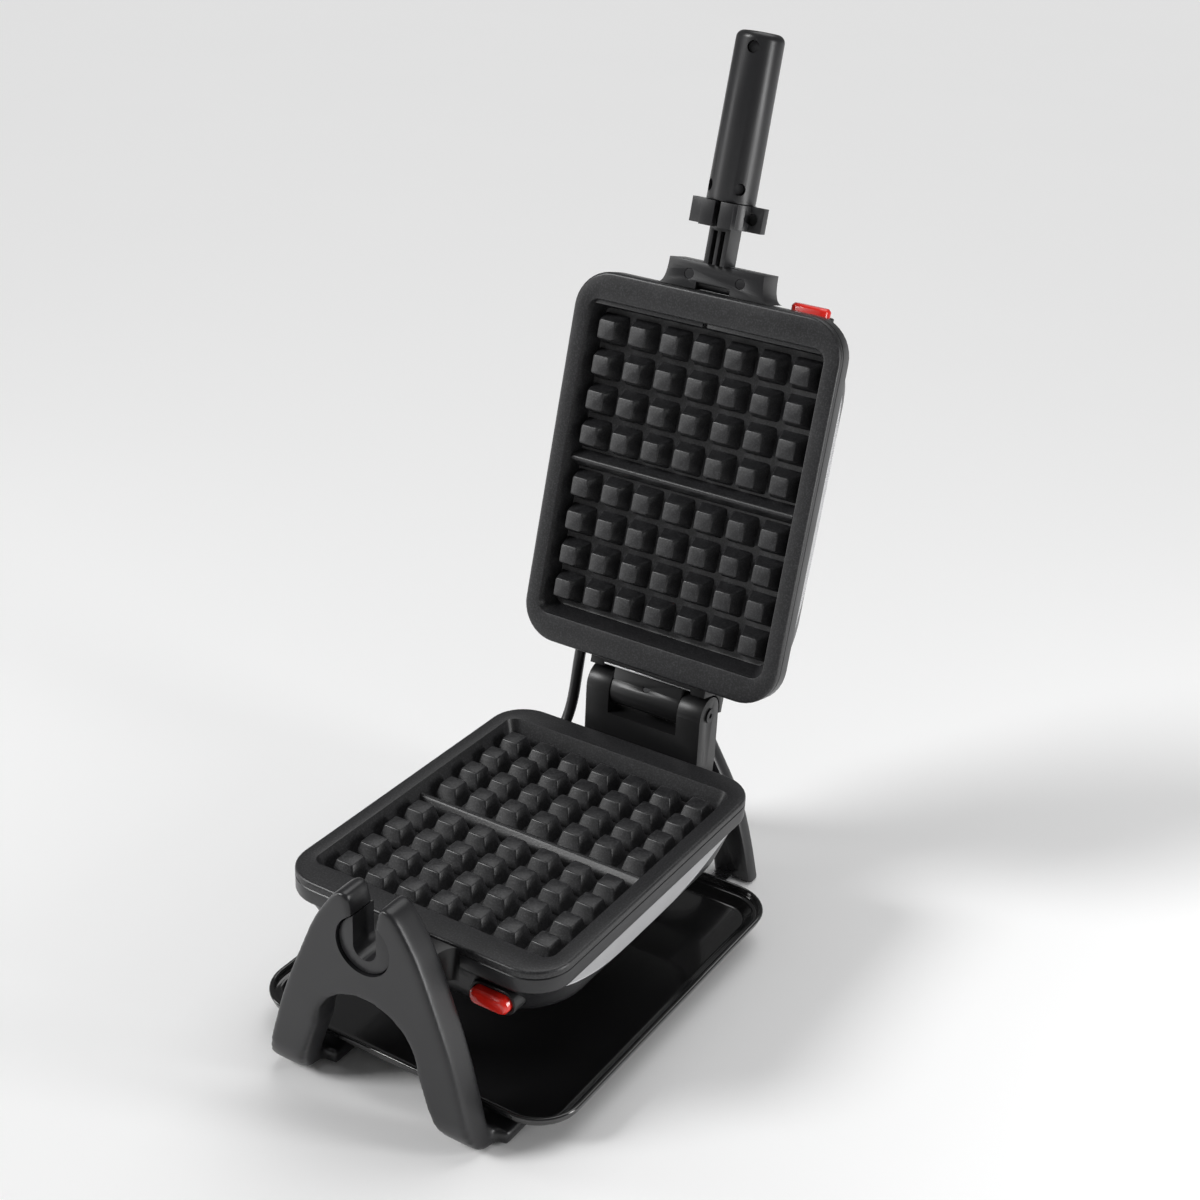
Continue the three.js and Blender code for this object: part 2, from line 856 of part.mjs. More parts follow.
function bootGeometry(x, depth) {
  const profile = [
    [-bootEnd, 0],
    [-bootEnd, bootRadius.tip],
    [-bootPlugEnd, bootRadius.plug],
    [-bootInner, bootRadius.plug],
    [-bootInner, 0],
  ];
  return turnedForward(profile, 0, x, -depth, 16);
}

// Front bracket in plan, with hollow flanks, from its root at the band to its end
function bracketPlan(root, tip, end) {
  const start = -halfLength - fitGap;
  const shape = new THREE.Shape();
  shape.moveTo(-root, start);
  shape.quadraticCurveTo(-tip, start, -tip, -end);
  shape.lineTo(tip, -end);
  shape.quadraticCurveTo(tip, start, root, start);
  return shape;
}

function frontBracketGeometry() {
  const body = prismZ(
    bracketPlan(trunnion.bracketRoot, trunnion.bracketTip, trunnionEnd),
    -trunnion.bracketBottom,
    -trunnion.bracketTop,
  );
  const trough = block(
    [-trunnionSlot, trunnionSlot],
    [-trunnionEnd - overrun, -halfLength + overrun],
    [-trunnion.troughDepth, overrun],
  );
  return cut(body, trough);
}

function trunnionDiscGeometry() {
  const front = trunnion.discRecess - legFront;
  const back = -discBack;
  const disc = cylinderY(trunnion.discRadius, [front, back], 0, axisAboveParting, 40);
  const slot = block(
    [-trunnionSlot, trunnionSlot],
    [front - overrun, back + overrun],
    [axisAboveParting - trunnion.slotBelowAxis, axisAboveParting + trunnion.discRadius + overrun],
  );
  return cut(disc, slot);
}

// Front edge of a part that meets the belly, as y and z points down its depth
function bellyEdge(from, to) {
  const depths = bellyShares
    .map(([depthShare]) => half.bandDepth + depthShare * (half.depth - half.bandDepth))
    .filter((depth) => depth > from && depth < to);
  return [from, ...depths, to].map((depth) => [halfLength - insetAt(depth) + fitGap, -depth]);
}

function hingeBracketGeometry() {
  const h = hinge;
  const shape = new THREE.Shape();
  const seatTop = half.bandDepth + fitGap;
  shape.moveTo(hingeBracketFront, h.rise);
  shape.lineTo(hingeBracketFront, -seatTop);
  for (const [y, z] of bellyEdge(seatTop, h.bracketBottom)) {
    shape.lineTo(y, z);
  }
  shape.lineTo(hingeBracketBottomRear, -h.bracketBottom);
  shape.lineTo(hingeBracketWaistRear, -h.bracketWaistDepth);
  shape.lineTo(hingeY + h.cheekRadius, -h.bracketShoulderDepth);
  shape.lineTo(hingeY + h.cheekRadius, h.rise);
  shape.absarc(hingeY, h.rise, h.cheekRadius, 0, Math.PI, false);
  const body = prismX(shape, -h.cheekOuter, h.cheekOuter);
  const window = block(
    [-h.cheekInner, h.cheekInner],
    [hingeBracketFront - h.cheekRadius, hingeY + h.cheekRadius + overrun],
    [h.windowRise, h.rise + h.cheekRadius + overrun],
  );
  const pinHole = cylinderX(
    h.pinRadius + h.bearingGap,
    [-h.cheekOuter - overrun, h.cheekOuter + overrun],
    hingeY,
    h.rise,
  );
  return cut(body, window, pinHole);
}

function hingePinGeometry() {
  const h = hinge;
  const shaft = cylinderX(h.pinRadius, [-h.cheekOuter, h.cheekOuter + h.pinProud], hingeY, h.rise);
  const head = cylinderX(
    h.pinHeadRadius,
    [h.cheekOuter + fitGap, h.cheekOuter + h.pinProud],
    hingeY,
    h.rise,
  );
  const socket = cylinderX(
    h.socketRadius,
    [h.cheekOuter - h.socketDepth, h.cheekOuter + h.pinProud + overrun],
    hingeY,
    h.rise,
    6,
  );
  return cut(joined(shaft, head), socket);
}

// Pieces that only the upper half has, in its own half frame: hinge pieces at +Y, handle at -Y

const hingeZ = -hinge.rise;

// Straight from the hinge axis at an angle in the y and z plane
function aroundHinge(radius, degrees) {
  const angle = (degrees * Math.PI) / 180;
  return [hingeY + radius * Math.cos(angle), hingeZ + radius * Math.sin(angle)];
}

function hingeHoodGeometry() {
  const roofInner = hinge.cheekRadius + hood.roofGap;
  const roofOuter = roofInner + hood.roofThickness;
  const deepest = hinge.rise + roofOuter;
  const edge = bellyEdge(half.bandDepth + fitGap, deepest);
  const front = [[halfLength + fitGap, -hood.front], [halfLength + fitGap, -half.bandDepth], ...edge];
  const middle = prismX(
    polygon([...front, [hingePlateSeat, -deepest], [hingePlateSeat, -hood.front]]),
    -hingePlate.width - fitGap,
    hingePlate.width + fitGap,
  );
  const reach = (Math.acos(hood.roofReach / roofInner) * 180) / Math.PI;
  const arcSteps = [0, 1, 2, 3, 4, 5];
  const share = 1 / (arcSteps.length - 1);
  const innerArc = arcSteps.map((i) =>
    aroundHinge(roofInner, -180 + i * share * (180 - reach)),
  );
  const outerArc = arcSteps.map((i) => aroundHinge(roofOuter, -reach - i * share * (90 - reach)));
  const wallProfile = [
    ...front,
    ...outerArc.slice().reverse(),
    ...innerArc.slice().reverse(),
    [hingeY - roofInner, -hood.front],
  ];
  const roofSeat = -hingePlate.top - fitGap;
  const walls = [];
  for (const side of [1, -1]) {
    const span = [side * (hingePlate.width + fitGap), side * hinge.cheekOuter].sort((a, b) => a - b);
    walls.push(prismX(polygon(wallProfile), ...span));
    const roofSpan = [side * hinge.cheekInner, side * (hingePlate.width + overrun)].sort((a, b) => a - b);
    const roof = common(
      prismX(polygon(wallProfile), ...roofSpan),
      block(roofSpan, [0, hingeY + roofOuter], [-deepest - overrun, roofSeat]),
    );
    walls.push(roof);
  }
  return joined(middle, ...walls);
}

function hingePlateGeometry() {
  const front = hingePlateSeat + fitGap;
  return block(
    [-hingePlate.width, hingePlate.width],
    [front, front + hingePlate.thickness],
    [-hingePlate.top, -hingePlate.bottom],
  );
}

const barrelHalfLength = hinge.cheekInner - runningGap;

function hingeArmGeometry() {
  const seat = hingePlateSeat + hingePlate.thickness + 2 * fitGap;
  const body = block(
    [-barrelHalfLength, barrelHalfLength],
    [seat, hingeY],
    [-arm.top, -arm.bottom],
  );
  const barrel = cylinderX(hinge.barrelRadius, [-barrelHalfLength, barrelHalfLength], hingeY, hingeZ, 32);
  const bore = cylinderX(
    hinge.pinRadius + hinge.bearingGap,
    [-barrelHalfLength - overrun, barrelHalfLength + overrun],
    hingeY,
    hingeZ,
  );
  return cut(joined(body, barrel), bore, placedBarrelScrew(fitGap));
}

// The hinge screw sits in the barrel, turned about the hinge axis to face up when the half is open
function placedBarrelScrew(gap) {
  const geometry = screwBody(barrelScrew, gap).translate(0, 0, hinge.barrelRadius - fitGap);
  const turn = ((barrelScrew.frontAngleDegrees - 90) * Math.PI) / 180;
  return geometry.rotateX(turn).translate(0, hingeY, hingeZ);
}

function handleBracketGeometry() {
  const b = handleBracket;
  const start = -halfLength - fitGap;
  const body = prismZ(bracketPlan(b.root, b.tip, handleBracketEnd), -b.back, -b.front);
  const notch = block(
    [-b.notchWidth / 2, b.notchWidth / 2],
    [start - b.notchLength, start + overrun],
    [-b.front - b.notchDepth, overrun],
  );
  const boss = cylinderX(
    b.bossRadius,
    [-b.notchWidth / 2 - fitGap, b.notchWidth / 2 + fitGap],
    start - b.bossRadius,
    -b.bossBehind,
    12,
  );
  const pockets = [1, -1].map((side) =>
    screwBody(bracketScrew, fitGap).translate(side * b.screwX, -bracketScrewY, -b.front - fitGap),
  );
  return cut(joined(cut(body, notch), boss), ...pockets);
}

function bracketScrewGeometry(side) {
  const b = handleBracket;
  return screwBody(bracketScrew).translate(side * b.screwX, -bracketScrewY, -b.front - fitGap);
}

function stemGeometry() {
  const s = stem;
  const start = -handleBracketEnd - fitGap;
  const shaft = block([-s.halfWidth, s.halfWidth], [-stemEnd - overrun, start], [-s.back, s.front]);
  const grooves = [1, -1].map((side) => {
    const inner = side * (s.rib / 2);
    const outer = side * (s.rib / 2 + s.groove);
    return block(
      [Math.min(inner, outer), Math.max(inner, outer)],
      [-stemEnd + s.rib, start + overrun],
      [s.front - s.grooveDepth, s.front + overrun],
    );
  });
  const core = cylinderY(s.coreRadius, [-coreEnd, -stemEnd], 0, -grip.axisBehind);
  return joined(cut(shaft, ...grooves), core);
}

function collarGeometry() {
  const c = collar;
  const centre = block([-c.block, c.block], [-collarEnd, -collarStart], [-c.blockBack, c.blockFront]);
  const ring = cylinderY(c.radius, [-collarEnd, -collarStart], 0, -grip.axisBehind, 28);
  const wings = block(
    [-c.wing, c.wing],
    [-collarEnd, -collarStart],
    [-c.wingFront - c.wingThickness, -c.wingFront],
  );
  const bore = cylinderY(gripBore, [-collarEnd - overrun, -collarStart + overrun], 0, -grip.axisBehind);
  const slot = block(
    [-c.slot / 2, c.slot / 2],
    [-collarEnd - overrun, -collarStart + overrun],
    [c.blockFront - c.slotDepth, c.blockFront + overrun],
  );
  const hole = cylinderZ(
    c.holeRadius,
    [-c.wingFront - c.holeDepth, overrun],
    -c.holeX,
    -(collarStart + collarEnd) / 2,
    16,
  );
  return cut(joined(centre, ring, wings), bore, slot, hole);
}

// A radial place on the grip: z up is turned to the screw's angle about the grip's axis
function onGrip(geometry, place) {
  const turned = geometry.rotateY((-place.degrees * Math.PI) / 180);
  return turned.translate(0, -gripStart - place.from, -grip.axisBehind);
}

function gripGeometry() {
  const g = grip;
  const cavity = stem.coreLength + fitGap;
  const roundSteps = [0, 1, 2, 3, 4];
  const round = roundSteps.map((i) => {
    const angle = (i / (roundSteps.length - 1)) * (Math.PI / 2);
    return [
      g.length - g.endRound + g.endRound * Math.sin(angle),
      g.endRadius - g.endRound + g.endRound * Math.cos(angle),
    ];
  });
  const profile = [[cavity, 0], [cavity, gripBore], [0, gripBore], [0, g.radius], ...round, [g.length, 0]];
  const body = turnedForward(profile, gripStart, 0, -g.axisBehind, 28);
  const holes = gripScrews.map((place) =>
    onGrip(cylinderZ(gripScrew.hole, [0, g.radius + overrun], 0, 0, 12), place),
  );
  return cut(body, ...holes);
}

function gripScrewGeometry(place) {
  const seat = stem.coreRadius + fitGap;
  const body = cylinderZ(gripScrew.radius, [seat, seat + gripScrew.height], 0, 0, 12);
  return onGrip(body, place);
}

// Rear axle, nut and gland, on the turn axis

function axleGeometry() {
  const flangeEnd = axleStart + axle.flange;
  const flange = cylinderY(axle.flangeRadius, [axleStart, flangeEnd], 0, axisAboveParting, 28);
  const shaft = cylinderY(axle.radius, [flangeEnd - overrun, axleEnd], 0, axisAboveParting);
  const boreStart = axleEnd - gland.plug - fitGap;
  const bore = cylinderY(axle.bore, [boreStart, axleEnd + overrun], 0, axisAboveParting, 16);
  return cut(joined(flange, shaft), bore);
}

function axleNutGeometry() {
  const start = rearLegBack + fitGap;
  const end = start + axle.nut;
  const nut = cylinderY(axle.nutRadius, [start, end], 0, axisAboveParting, 6);
  const bore = cylinderY(axle.radius + fitGap, [start - overrun, end + overrun], 0, axisAboveParting);
  return cut(nut, bore);
}

function mainsGlandGeometry() {
  const flangeEnd = axleEnd + fitGap + gland.flange;
  const tip = axleEnd + gland.flange + gland.length;
  const plug = cylinderY(
    axle.bore - fitGap,
    [axleEnd - gland.plug, axleEnd + gland.flange],
    0,
    axisAboveParting,
    16,
  );
  const flange = cylinderY(gland.flangeRadius, [axleEnd + fitGap, flangeEnd], 0, axisAboveParting, 20);
  const cone = new THREE.CylinderGeometry(gland.coneTip, gland.coneRoot, gland.length, 20);
  cone.translate(0, tip - gland.length / 2, axisAboveParting);
  const bore = cylinderY(gland.bore, [tip - gland.boreDepth, tip + overrun], 0, axisAboveParting, 12);
  return cut(joined(plug, flange, cone), bore);
}

// Stand pieces, with z = 0 on the table

// The arch under a leg, from its left foot to its right foot
function archPoints(archFoot) {
  const steps = 12;
  const round = Array.from({ length: steps + 1 }, (_, i) => {
    const angle = Math.PI * (1 - i / steps);
    return [leg.archWidth * Math.cos(angle), archCentre + leg.archHeight * Math.sin(angle)];
  });
  return [[-archFoot, leg.footProud], ...round, [archFoot, leg.footProud]];
}

// One outer edge of a leg as a smooth curve, from its foot up
function outerEdge(shares, halfSpan, height, steps) {
  const places = shares.map(([xShare, zShare]) => {
    const z = Math.max(zShare * height, leg.footProud);
    return new THREE.Vector2(xShare * halfSpan, z);
  });
  return new THREE.SplineCurve(places.reverse()).getPoints(steps).map(({ x, y }) => [x, y]);
}

// A leg outline: up the right edge, over the head, down the left edge and back through the arch
function legShape(edge, head, archFoot) {
  const mirrored = edge.map(([x, z]) => [-x, z]).reverse();
  return polygon([...edge, ...head, ...mirrored, ...archPoints(archFoot)]);
}

function frontLegShape() {
  return legShape(outerEdge(legEdgeShares, leg.halfSpan, legHeight, 14), [], leg.archFoot);
}

function frontLegGeometry() {
  const shape = frontLegShape();
  const front = -legFront;
  const back = front + leg.thickness;
  const wide = sleeveOuter + overrun;
  const upright = common(
    prismY(shape, front, back, leg.bevel),
    block([-wide, wide], [front - overrun, back + overrun], [leg.bend, legHeight + overrun]),
  );
  const innerBend = leg.bend - leg.thickness;
  const curl = new THREE.Shape();
  curl.moveTo(front, leg.bend + overrun);
  curl.lineTo(front, leg.bend);
  curl.absarc(front + leg.bend, leg.bend, leg.bend, Math.PI, 1.5 * Math.PI, false);
  curl.lineTo(-sleeveEnd, 0);
  curl.lineTo(-sleeveEnd, leg.footHeight);
  curl.lineTo(back + innerBend, leg.footHeight);
  curl.lineTo(back, leg.footHeight + innerBend);
  curl.lineTo(back, leg.bend + overrun);
  const bent = common(prismX(curl, -wide, wide), prismY(shape, front - overrun, -sleeveEnd + overrun));
  const sleeves = [1, -1].map((side) => {
    const span = [side * sleeveInner, side * sleeveOuter].sort((a, b) => a - b);
    return block(span, [back + innerBend, -sleeveEnd], [leg.footProud, leg.footHeight]);
  });
  const pocket = cylinderY(
    pocketRadius,
    [front - overrun, back + overrun],
    0,
    turnAxisHeight,
    40,
  );
  const gap = block(
    [-legGap, legGap],
    [front - overrun, back + overrun],
    [turnAxisHeight, legHeight + overrun],
  );
  const sockets = [1, -1].flatMap((side) => [
    tongueSocket(side),
    footSocket(side, foot.radius, railX, -frontFootY),
  ]);
  return cut(joined(upright, bent, ...sleeves), pocket, gap, ...sockets);
}

// The pocket in a sleeve that the front tongue of a rail sits in
function tongueSocket(side) {
  const halfTongue = rail.tongueWidth / 2 + fitGap;
  const x = side * railX;
  return block(
    [x - halfTongue, x + halfTongue],
    [-sleeveEnd - rail.tongue - fitGap, -sleeveEnd + overrun],
    [rail.tongueBottom - fitGap, rail.tongueBottom + rail.tongueHeight + fitGap],
  );
}

function footSocket(side, radius, x, y) {
  return cylinderZ(radius + fitGap, [-overrun, foot.height + fitGap], side * x, y, 12);
}

function rubberFootGeometry(side, radius, x, y) {
  return cylinderZ(radius, [0, foot.height], side * x, y, 12);
}

function rearLegShape() {
  const steps = 10;
  const head = Array.from({ length: steps + 1 }, (_, i) => {
    const angle = Math.PI * (rearLeg.headShare + (i / steps) * (1 - 2 * rearLeg.headShare));
    return [rearLeg.headRadius * Math.cos(angle), turnAxisHeight + rearLeg.headRadius * Math.sin(angle)];
  });
  const edge = outerEdge(rearEdgeShares, rearLeg.halfSpan, turnAxisHeight, 10);
  return legShape(edge, head, rearLeg.archFoot);
}

function rearTongueX(side) {
  return side * (railX - rail.rearTongueShift);
}

function rearLegGeometry() {
  const body = prismY(rearLegShape(), rearLegFront, rearLegBack, rearLeg.bevel);
  const bore = cylinderY(
    axle.radius + rearLeg.bushWall + 2 * fitGap,
    [rearLegFront - overrun, rearLegBack + overrun],
    0,
    turnAxisHeight,
  );
  const sockets = [1, -1].flatMap((side) => {
    const x = rearTongueX(side);
    const halfTongue = rail.rearTongueWidth / 2 + fitGap;
    const notch = block(
      [x - halfTongue, x + halfTongue],
      [rearLegFront - overrun, rearLegFront + rail.rearTongue + fitGap],
      [0, leg.footProud + rail.rearTongueHeight + 2 * fitGap],
    );
    const pad = footSocket(side, foot.rearRadius, rearFootX, rearLegMiddle);
    return [notch, pad, placedLegScrew(side, fitGap)];
  });
  return cut(body, bore, ...sockets);
}

function placedLegScrew(side, gap) {
  const geometry = screwBody(legScrew, gap).rotateX(Math.PI / 2);
  return geometry.translate(side * legScrewX, rearLegFront + fitGap, legScrew.height);
}

function rearBushGeometry() {
  const outer = cylinderY(
    axle.radius + rearLeg.bushWall + fitGap,
    [rearLegFront, rearLegBack],
    0,
    turnAxisHeight,
  );
  const inner = cylinderY(
    axle.radius + fitGap,
    [rearLegFront - overrun, rearLegBack + overrun],
    0,
    turnAxisHeight,
  );
  return cut(outer, inner);
}

function railGeometry(side) {
  const top = leg.footHeight - fitGap;
  const x = side * railX;
  const body = block(
    [x - rail.width / 2, x + rail.width / 2],
    [-sleeveEnd + fitGap, railRearEnd],
    [top - rail.height, top],
  );
  const tongue = block(
    [x - rail.tongueWidth / 2, x + rail.tongueWidth / 2],
    [-sleeveEnd - rail.tongue, -sleeveEnd + 2 * overrun],
    [rail.tongueBottom, rail.tongueBottom + rail.tongueHeight],
  );
  const rearX = rearTongueX(side);
  const low = leg.footProud + fitGap;
  const rearTongue = block(
    [rearX - rail.rearTongueWidth / 2, rearX + rail.rearTongueWidth / 2],
    [railRearEnd - rail.tongue, rearLegFront + rail.rearTongue],
    [low, low + rail.rearTongueHeight],
  );
  return joined(body, tongue, rearTongue);
}

function trayGeometry() {
  const t = tray;
  const bottom = leg.footHeight + fitGap;
  const rim = bottom + t.height;
  const ring = (inset, z) => ({ x: trayWidth - inset, y: trayLength - inset, r: t.corner - inset, z });
  const floorInset = t.step + t.wallSlope;
  return ringBody([
    ring(floorInset + t.sheet, bottom),
    ring(t.step + t.sheet / 2, rim - t.stepDepth - t.sheet),
    ring(t.bead, rim - t.stepDepth - t.sheet / 2),
    ring(t.bead, rim - t.beadHeight),
    ring(0, rim - t.beadHeight),
    ring(0, rim - t.beadHeight * beadShares.shoulderHeight),
    ring(t.bead * beadShares.crownOuter, rim),
    ring(t.bead * beadShares.crownInner, rim),
    ring(t.bead + t.sheet, rim - t.beadHeight * beadShares.crownOuter),
    ring(t.bead + t.sheet, rim - t.stepDepth),
    ring(t.step + t.sheet, rim - t.stepDepth),
    ring(floorInset + t.sheet, bottom + t.sheet),
  ]);
}

// Assembly

function piece(name, geometry, material) {
  const mesh = new THREE.Mesh(geometry, material);
  mesh.name = name;
  return mesh;
}

// Pieces that both halves have. The half that is turned over has its button and boot mirrored in x.
function bakingHalf(prefix, buttonX, bootX, bootDepth) {
  return [
    piece(`${prefix}_housing`, housingGeometry(buttonX, bootX, bootDepth), satinPlastic()),
    piece(`${prefix}_side_panel_right`, sidePanelGeometry(Math.sign(buttonX)), greyPlastic()),
    piece(`${prefix}_side_panel_left`, sidePanelGeometry(-Math.sign(buttonX)), greyPlastic()),
    piece(`${prefix}_cooking_plate`, plateGeometry(), coated()),
    piece(`${prefix}_heater`, heaterGeometry(), steel()),
    piece(`${prefix}_reflector`, reflectorGeometry(), steel()),
    piece(`${prefix}_thermostat`, thermostatGeometry(), steel()),
    piece(`${prefix}_button_bezel`, bezelGeometry(buttonX), plastic()),
    piece(`${prefix}_button_spring`, springGeometry(buttonX), steel()),
    piece(`${prefix}_release_button`, buttonGeometry(buttonX), finish(colours.red, 0.25, 0)),
    piece(`${prefix}_cable_boot`, bootGeometry(bootX, bootDepth), rubber()),
  ];
}

const stand = new THREE.Group();
stand.add(
  piece("front_leg", frontLegGeometry(), satinPlastic()),
  piece("rear_leg", rearLegGeometry(), satinPlastic()),
  piece("rear_bush", rearBushGeometry(), greyPlastic()),
  piece("drip_tray", trayGeometry(), finish(colours.enamel, 0.12, 0)),
);
for (const [name, side] of [["right", 1], ["left", -1]]) {
  const rearPad = rubberFootGeometry(side, foot.rearRadius, rearFootX, rearLegMiddle);
  stand.add(
    piece(`${name}_rail`, railGeometry(side), steel()),
    piece(`front_${name}_foot`, rubberFootGeometry(side, foot.radius, railX, -frontFootY), rubber()),
    piece(`rear_${name}_foot`, rearPad, rubber()),
    piece(`leg_screw_${name}`, placedLegScrew(side, 0), steel()),
  );
}

const lowerHalf = new THREE.Group();
lowerHalf.position.z = partingHeight;
lowerHalf.add(
  ...bakingHalf("lower", button.x, -boot.lowerX, boot.lowerDepth),
  piece("front_bracket", frontBracketGeometry(), plastic()),
  piece("trunnion_disc", trunnionDiscGeometry(), satinPlastic()),
  piece("hinge_bracket", hingeBracketGeometry(), plastic()),
  piece("hinge_pin", hingePinGeometry(), steel()),
  piece("rear_axle", axleGeometry(), steel()),
  piece("axle_nut", axleNutGeometry(), steel()),
  piece("mains_gland", mainsGlandGeometry(), rubber()),
);

// The upper half is the lower one turned over on the parting plane
const upperHalf = new THREE.Group();
upperHalf.position.set(0, -hingeY, -hinge.rise);
upperHalf.rotation.y = Math.PI;
upperHalf.add(
  ...bakingHalf("upper", -button.x, boot.x, boot.upperDepth),
  piece("hinge_hood", hingeHoodGeometry(), plastic()),
  piece("hinge_plate", hingePlateGeometry(), steel()),
  piece("hinge_arm", hingeArmGeometry(), plastic()),
  piece("hinge_screw", placedBarrelScrew(0), steel()),
  piece("handle_bracket", handleBracketGeometry(), satinPlastic()),
  piece("bracket_screw_right", bracketScrewGeometry(-1), steel()),
  piece("bracket_screw_left", bracketScrewGeometry(1), steel()),
  piece("handle_stem", stemGeometry(), satinPlastic()),
  piece("guard_collar", collarGeometry(), satinPlastic()),
  piece("handle_grip", gripGeometry(), satinPlastic()),
);
gripScrews.forEach((place, index) => {
  upperHalf.add(piece(`grip_screw_${index + 1}`, gripScrewGeometry(place), steel()));
});

// The hinge: the upper half leans back from the closed position by the opening angle
const openLid = new THREE.Group();
openLid.position.set(0, hingeY, partingHeight + hinge.rise);
openLid.rotation.x = (-openAngleDegrees * Math.PI) / 180;
openLid.add(upperHalf);

const linkCable = piece(
  "link_cable",
  tubeAlong(cablePoints, cable.radius, cable.sides, cable.steps),
  rubber(),
);

const machine = new THREE.Group();
machine.add(stand, lowerHalf, openLid, linkCable);

// The origin goes to the middle of the machine's footprint, on the table
machine.updateMatrixWorld(true);
const extent = new THREE.Box3().setFromObject(machine, true);
machine.position.y = -(extent.min.y + extent.max.y) / 2;

const waffleMaker = new THREE.Group();
waffleMaker.add(machine);

export default waffleMaker;
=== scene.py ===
"""Looks of a rotating waffle maker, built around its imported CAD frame.

Forms are drawn in millimetres, in the frame of the sub-assembly that they belong to, and are then set into
the row frame in metres. A baking half's own frame has its parting plane at z = 0, the half below it, and the
front end at -Y.
"""

import json
import logging
import math
from dataclasses import dataclass
from enum import Enum
from typing import Callable, Sequence

import bmesh
import bpy
from mathutils import Matrix, Vector

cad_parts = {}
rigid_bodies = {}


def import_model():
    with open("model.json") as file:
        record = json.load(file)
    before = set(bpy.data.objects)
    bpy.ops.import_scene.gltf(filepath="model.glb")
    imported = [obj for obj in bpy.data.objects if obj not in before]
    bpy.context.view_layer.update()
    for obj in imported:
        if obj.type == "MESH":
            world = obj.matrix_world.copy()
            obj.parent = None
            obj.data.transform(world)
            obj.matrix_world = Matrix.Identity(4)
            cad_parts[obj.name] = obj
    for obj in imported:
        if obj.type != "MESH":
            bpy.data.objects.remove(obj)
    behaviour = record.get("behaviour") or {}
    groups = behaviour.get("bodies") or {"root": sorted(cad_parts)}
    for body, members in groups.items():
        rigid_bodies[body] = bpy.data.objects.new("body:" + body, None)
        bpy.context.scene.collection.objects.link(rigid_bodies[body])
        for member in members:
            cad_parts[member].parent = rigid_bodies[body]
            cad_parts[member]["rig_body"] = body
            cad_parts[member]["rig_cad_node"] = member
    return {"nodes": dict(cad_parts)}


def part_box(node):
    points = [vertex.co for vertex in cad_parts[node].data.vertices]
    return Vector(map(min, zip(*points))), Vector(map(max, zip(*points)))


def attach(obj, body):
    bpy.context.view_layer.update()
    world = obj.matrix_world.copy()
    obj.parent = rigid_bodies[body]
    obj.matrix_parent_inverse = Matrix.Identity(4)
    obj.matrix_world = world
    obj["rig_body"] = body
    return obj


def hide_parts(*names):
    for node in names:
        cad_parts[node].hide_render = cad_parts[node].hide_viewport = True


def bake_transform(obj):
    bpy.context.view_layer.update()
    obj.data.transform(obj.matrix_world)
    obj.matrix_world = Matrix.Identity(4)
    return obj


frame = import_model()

LOG = logging.getLogger("waffle_maker")
MILLIMETRE = 0.001
FULL_TURN = 2 * math.pi
QUARTER_TURN = math.pi / 2
MERGE_GAP = 0.004
OVERRUN = 1.0
FLAT_ANGLE = 0.4
SHARP_ANGLE = 30
NOISE_SPREAD = (0.3, 0.7)
POLISH_SPREAD = (0.25, 0.75)

Point = tuple[float, float, float]
Pair = tuple[float, float]
Test = Callable[[Vector], bool]


class Cut(Enum):
    """How a second body changes the first."""

    AWAY = "DIFFERENCE"
    JOIN = "UNION"
    COMMON = "INTERSECT"


class Body(Enum):
    """CAD bodies that pieces ride on."""

    STAND = "stand"
    TRAY = "tray"
    LOWER = "lower_half"
    LOWER_PLATE = "lower_plate"
    LOWER_BUTTON = "lower_button"
    LID = "lid"
    UPPER_PLATE = "upper_plate"
    UPPER_BUTTON = "upper_button"


# Finishes


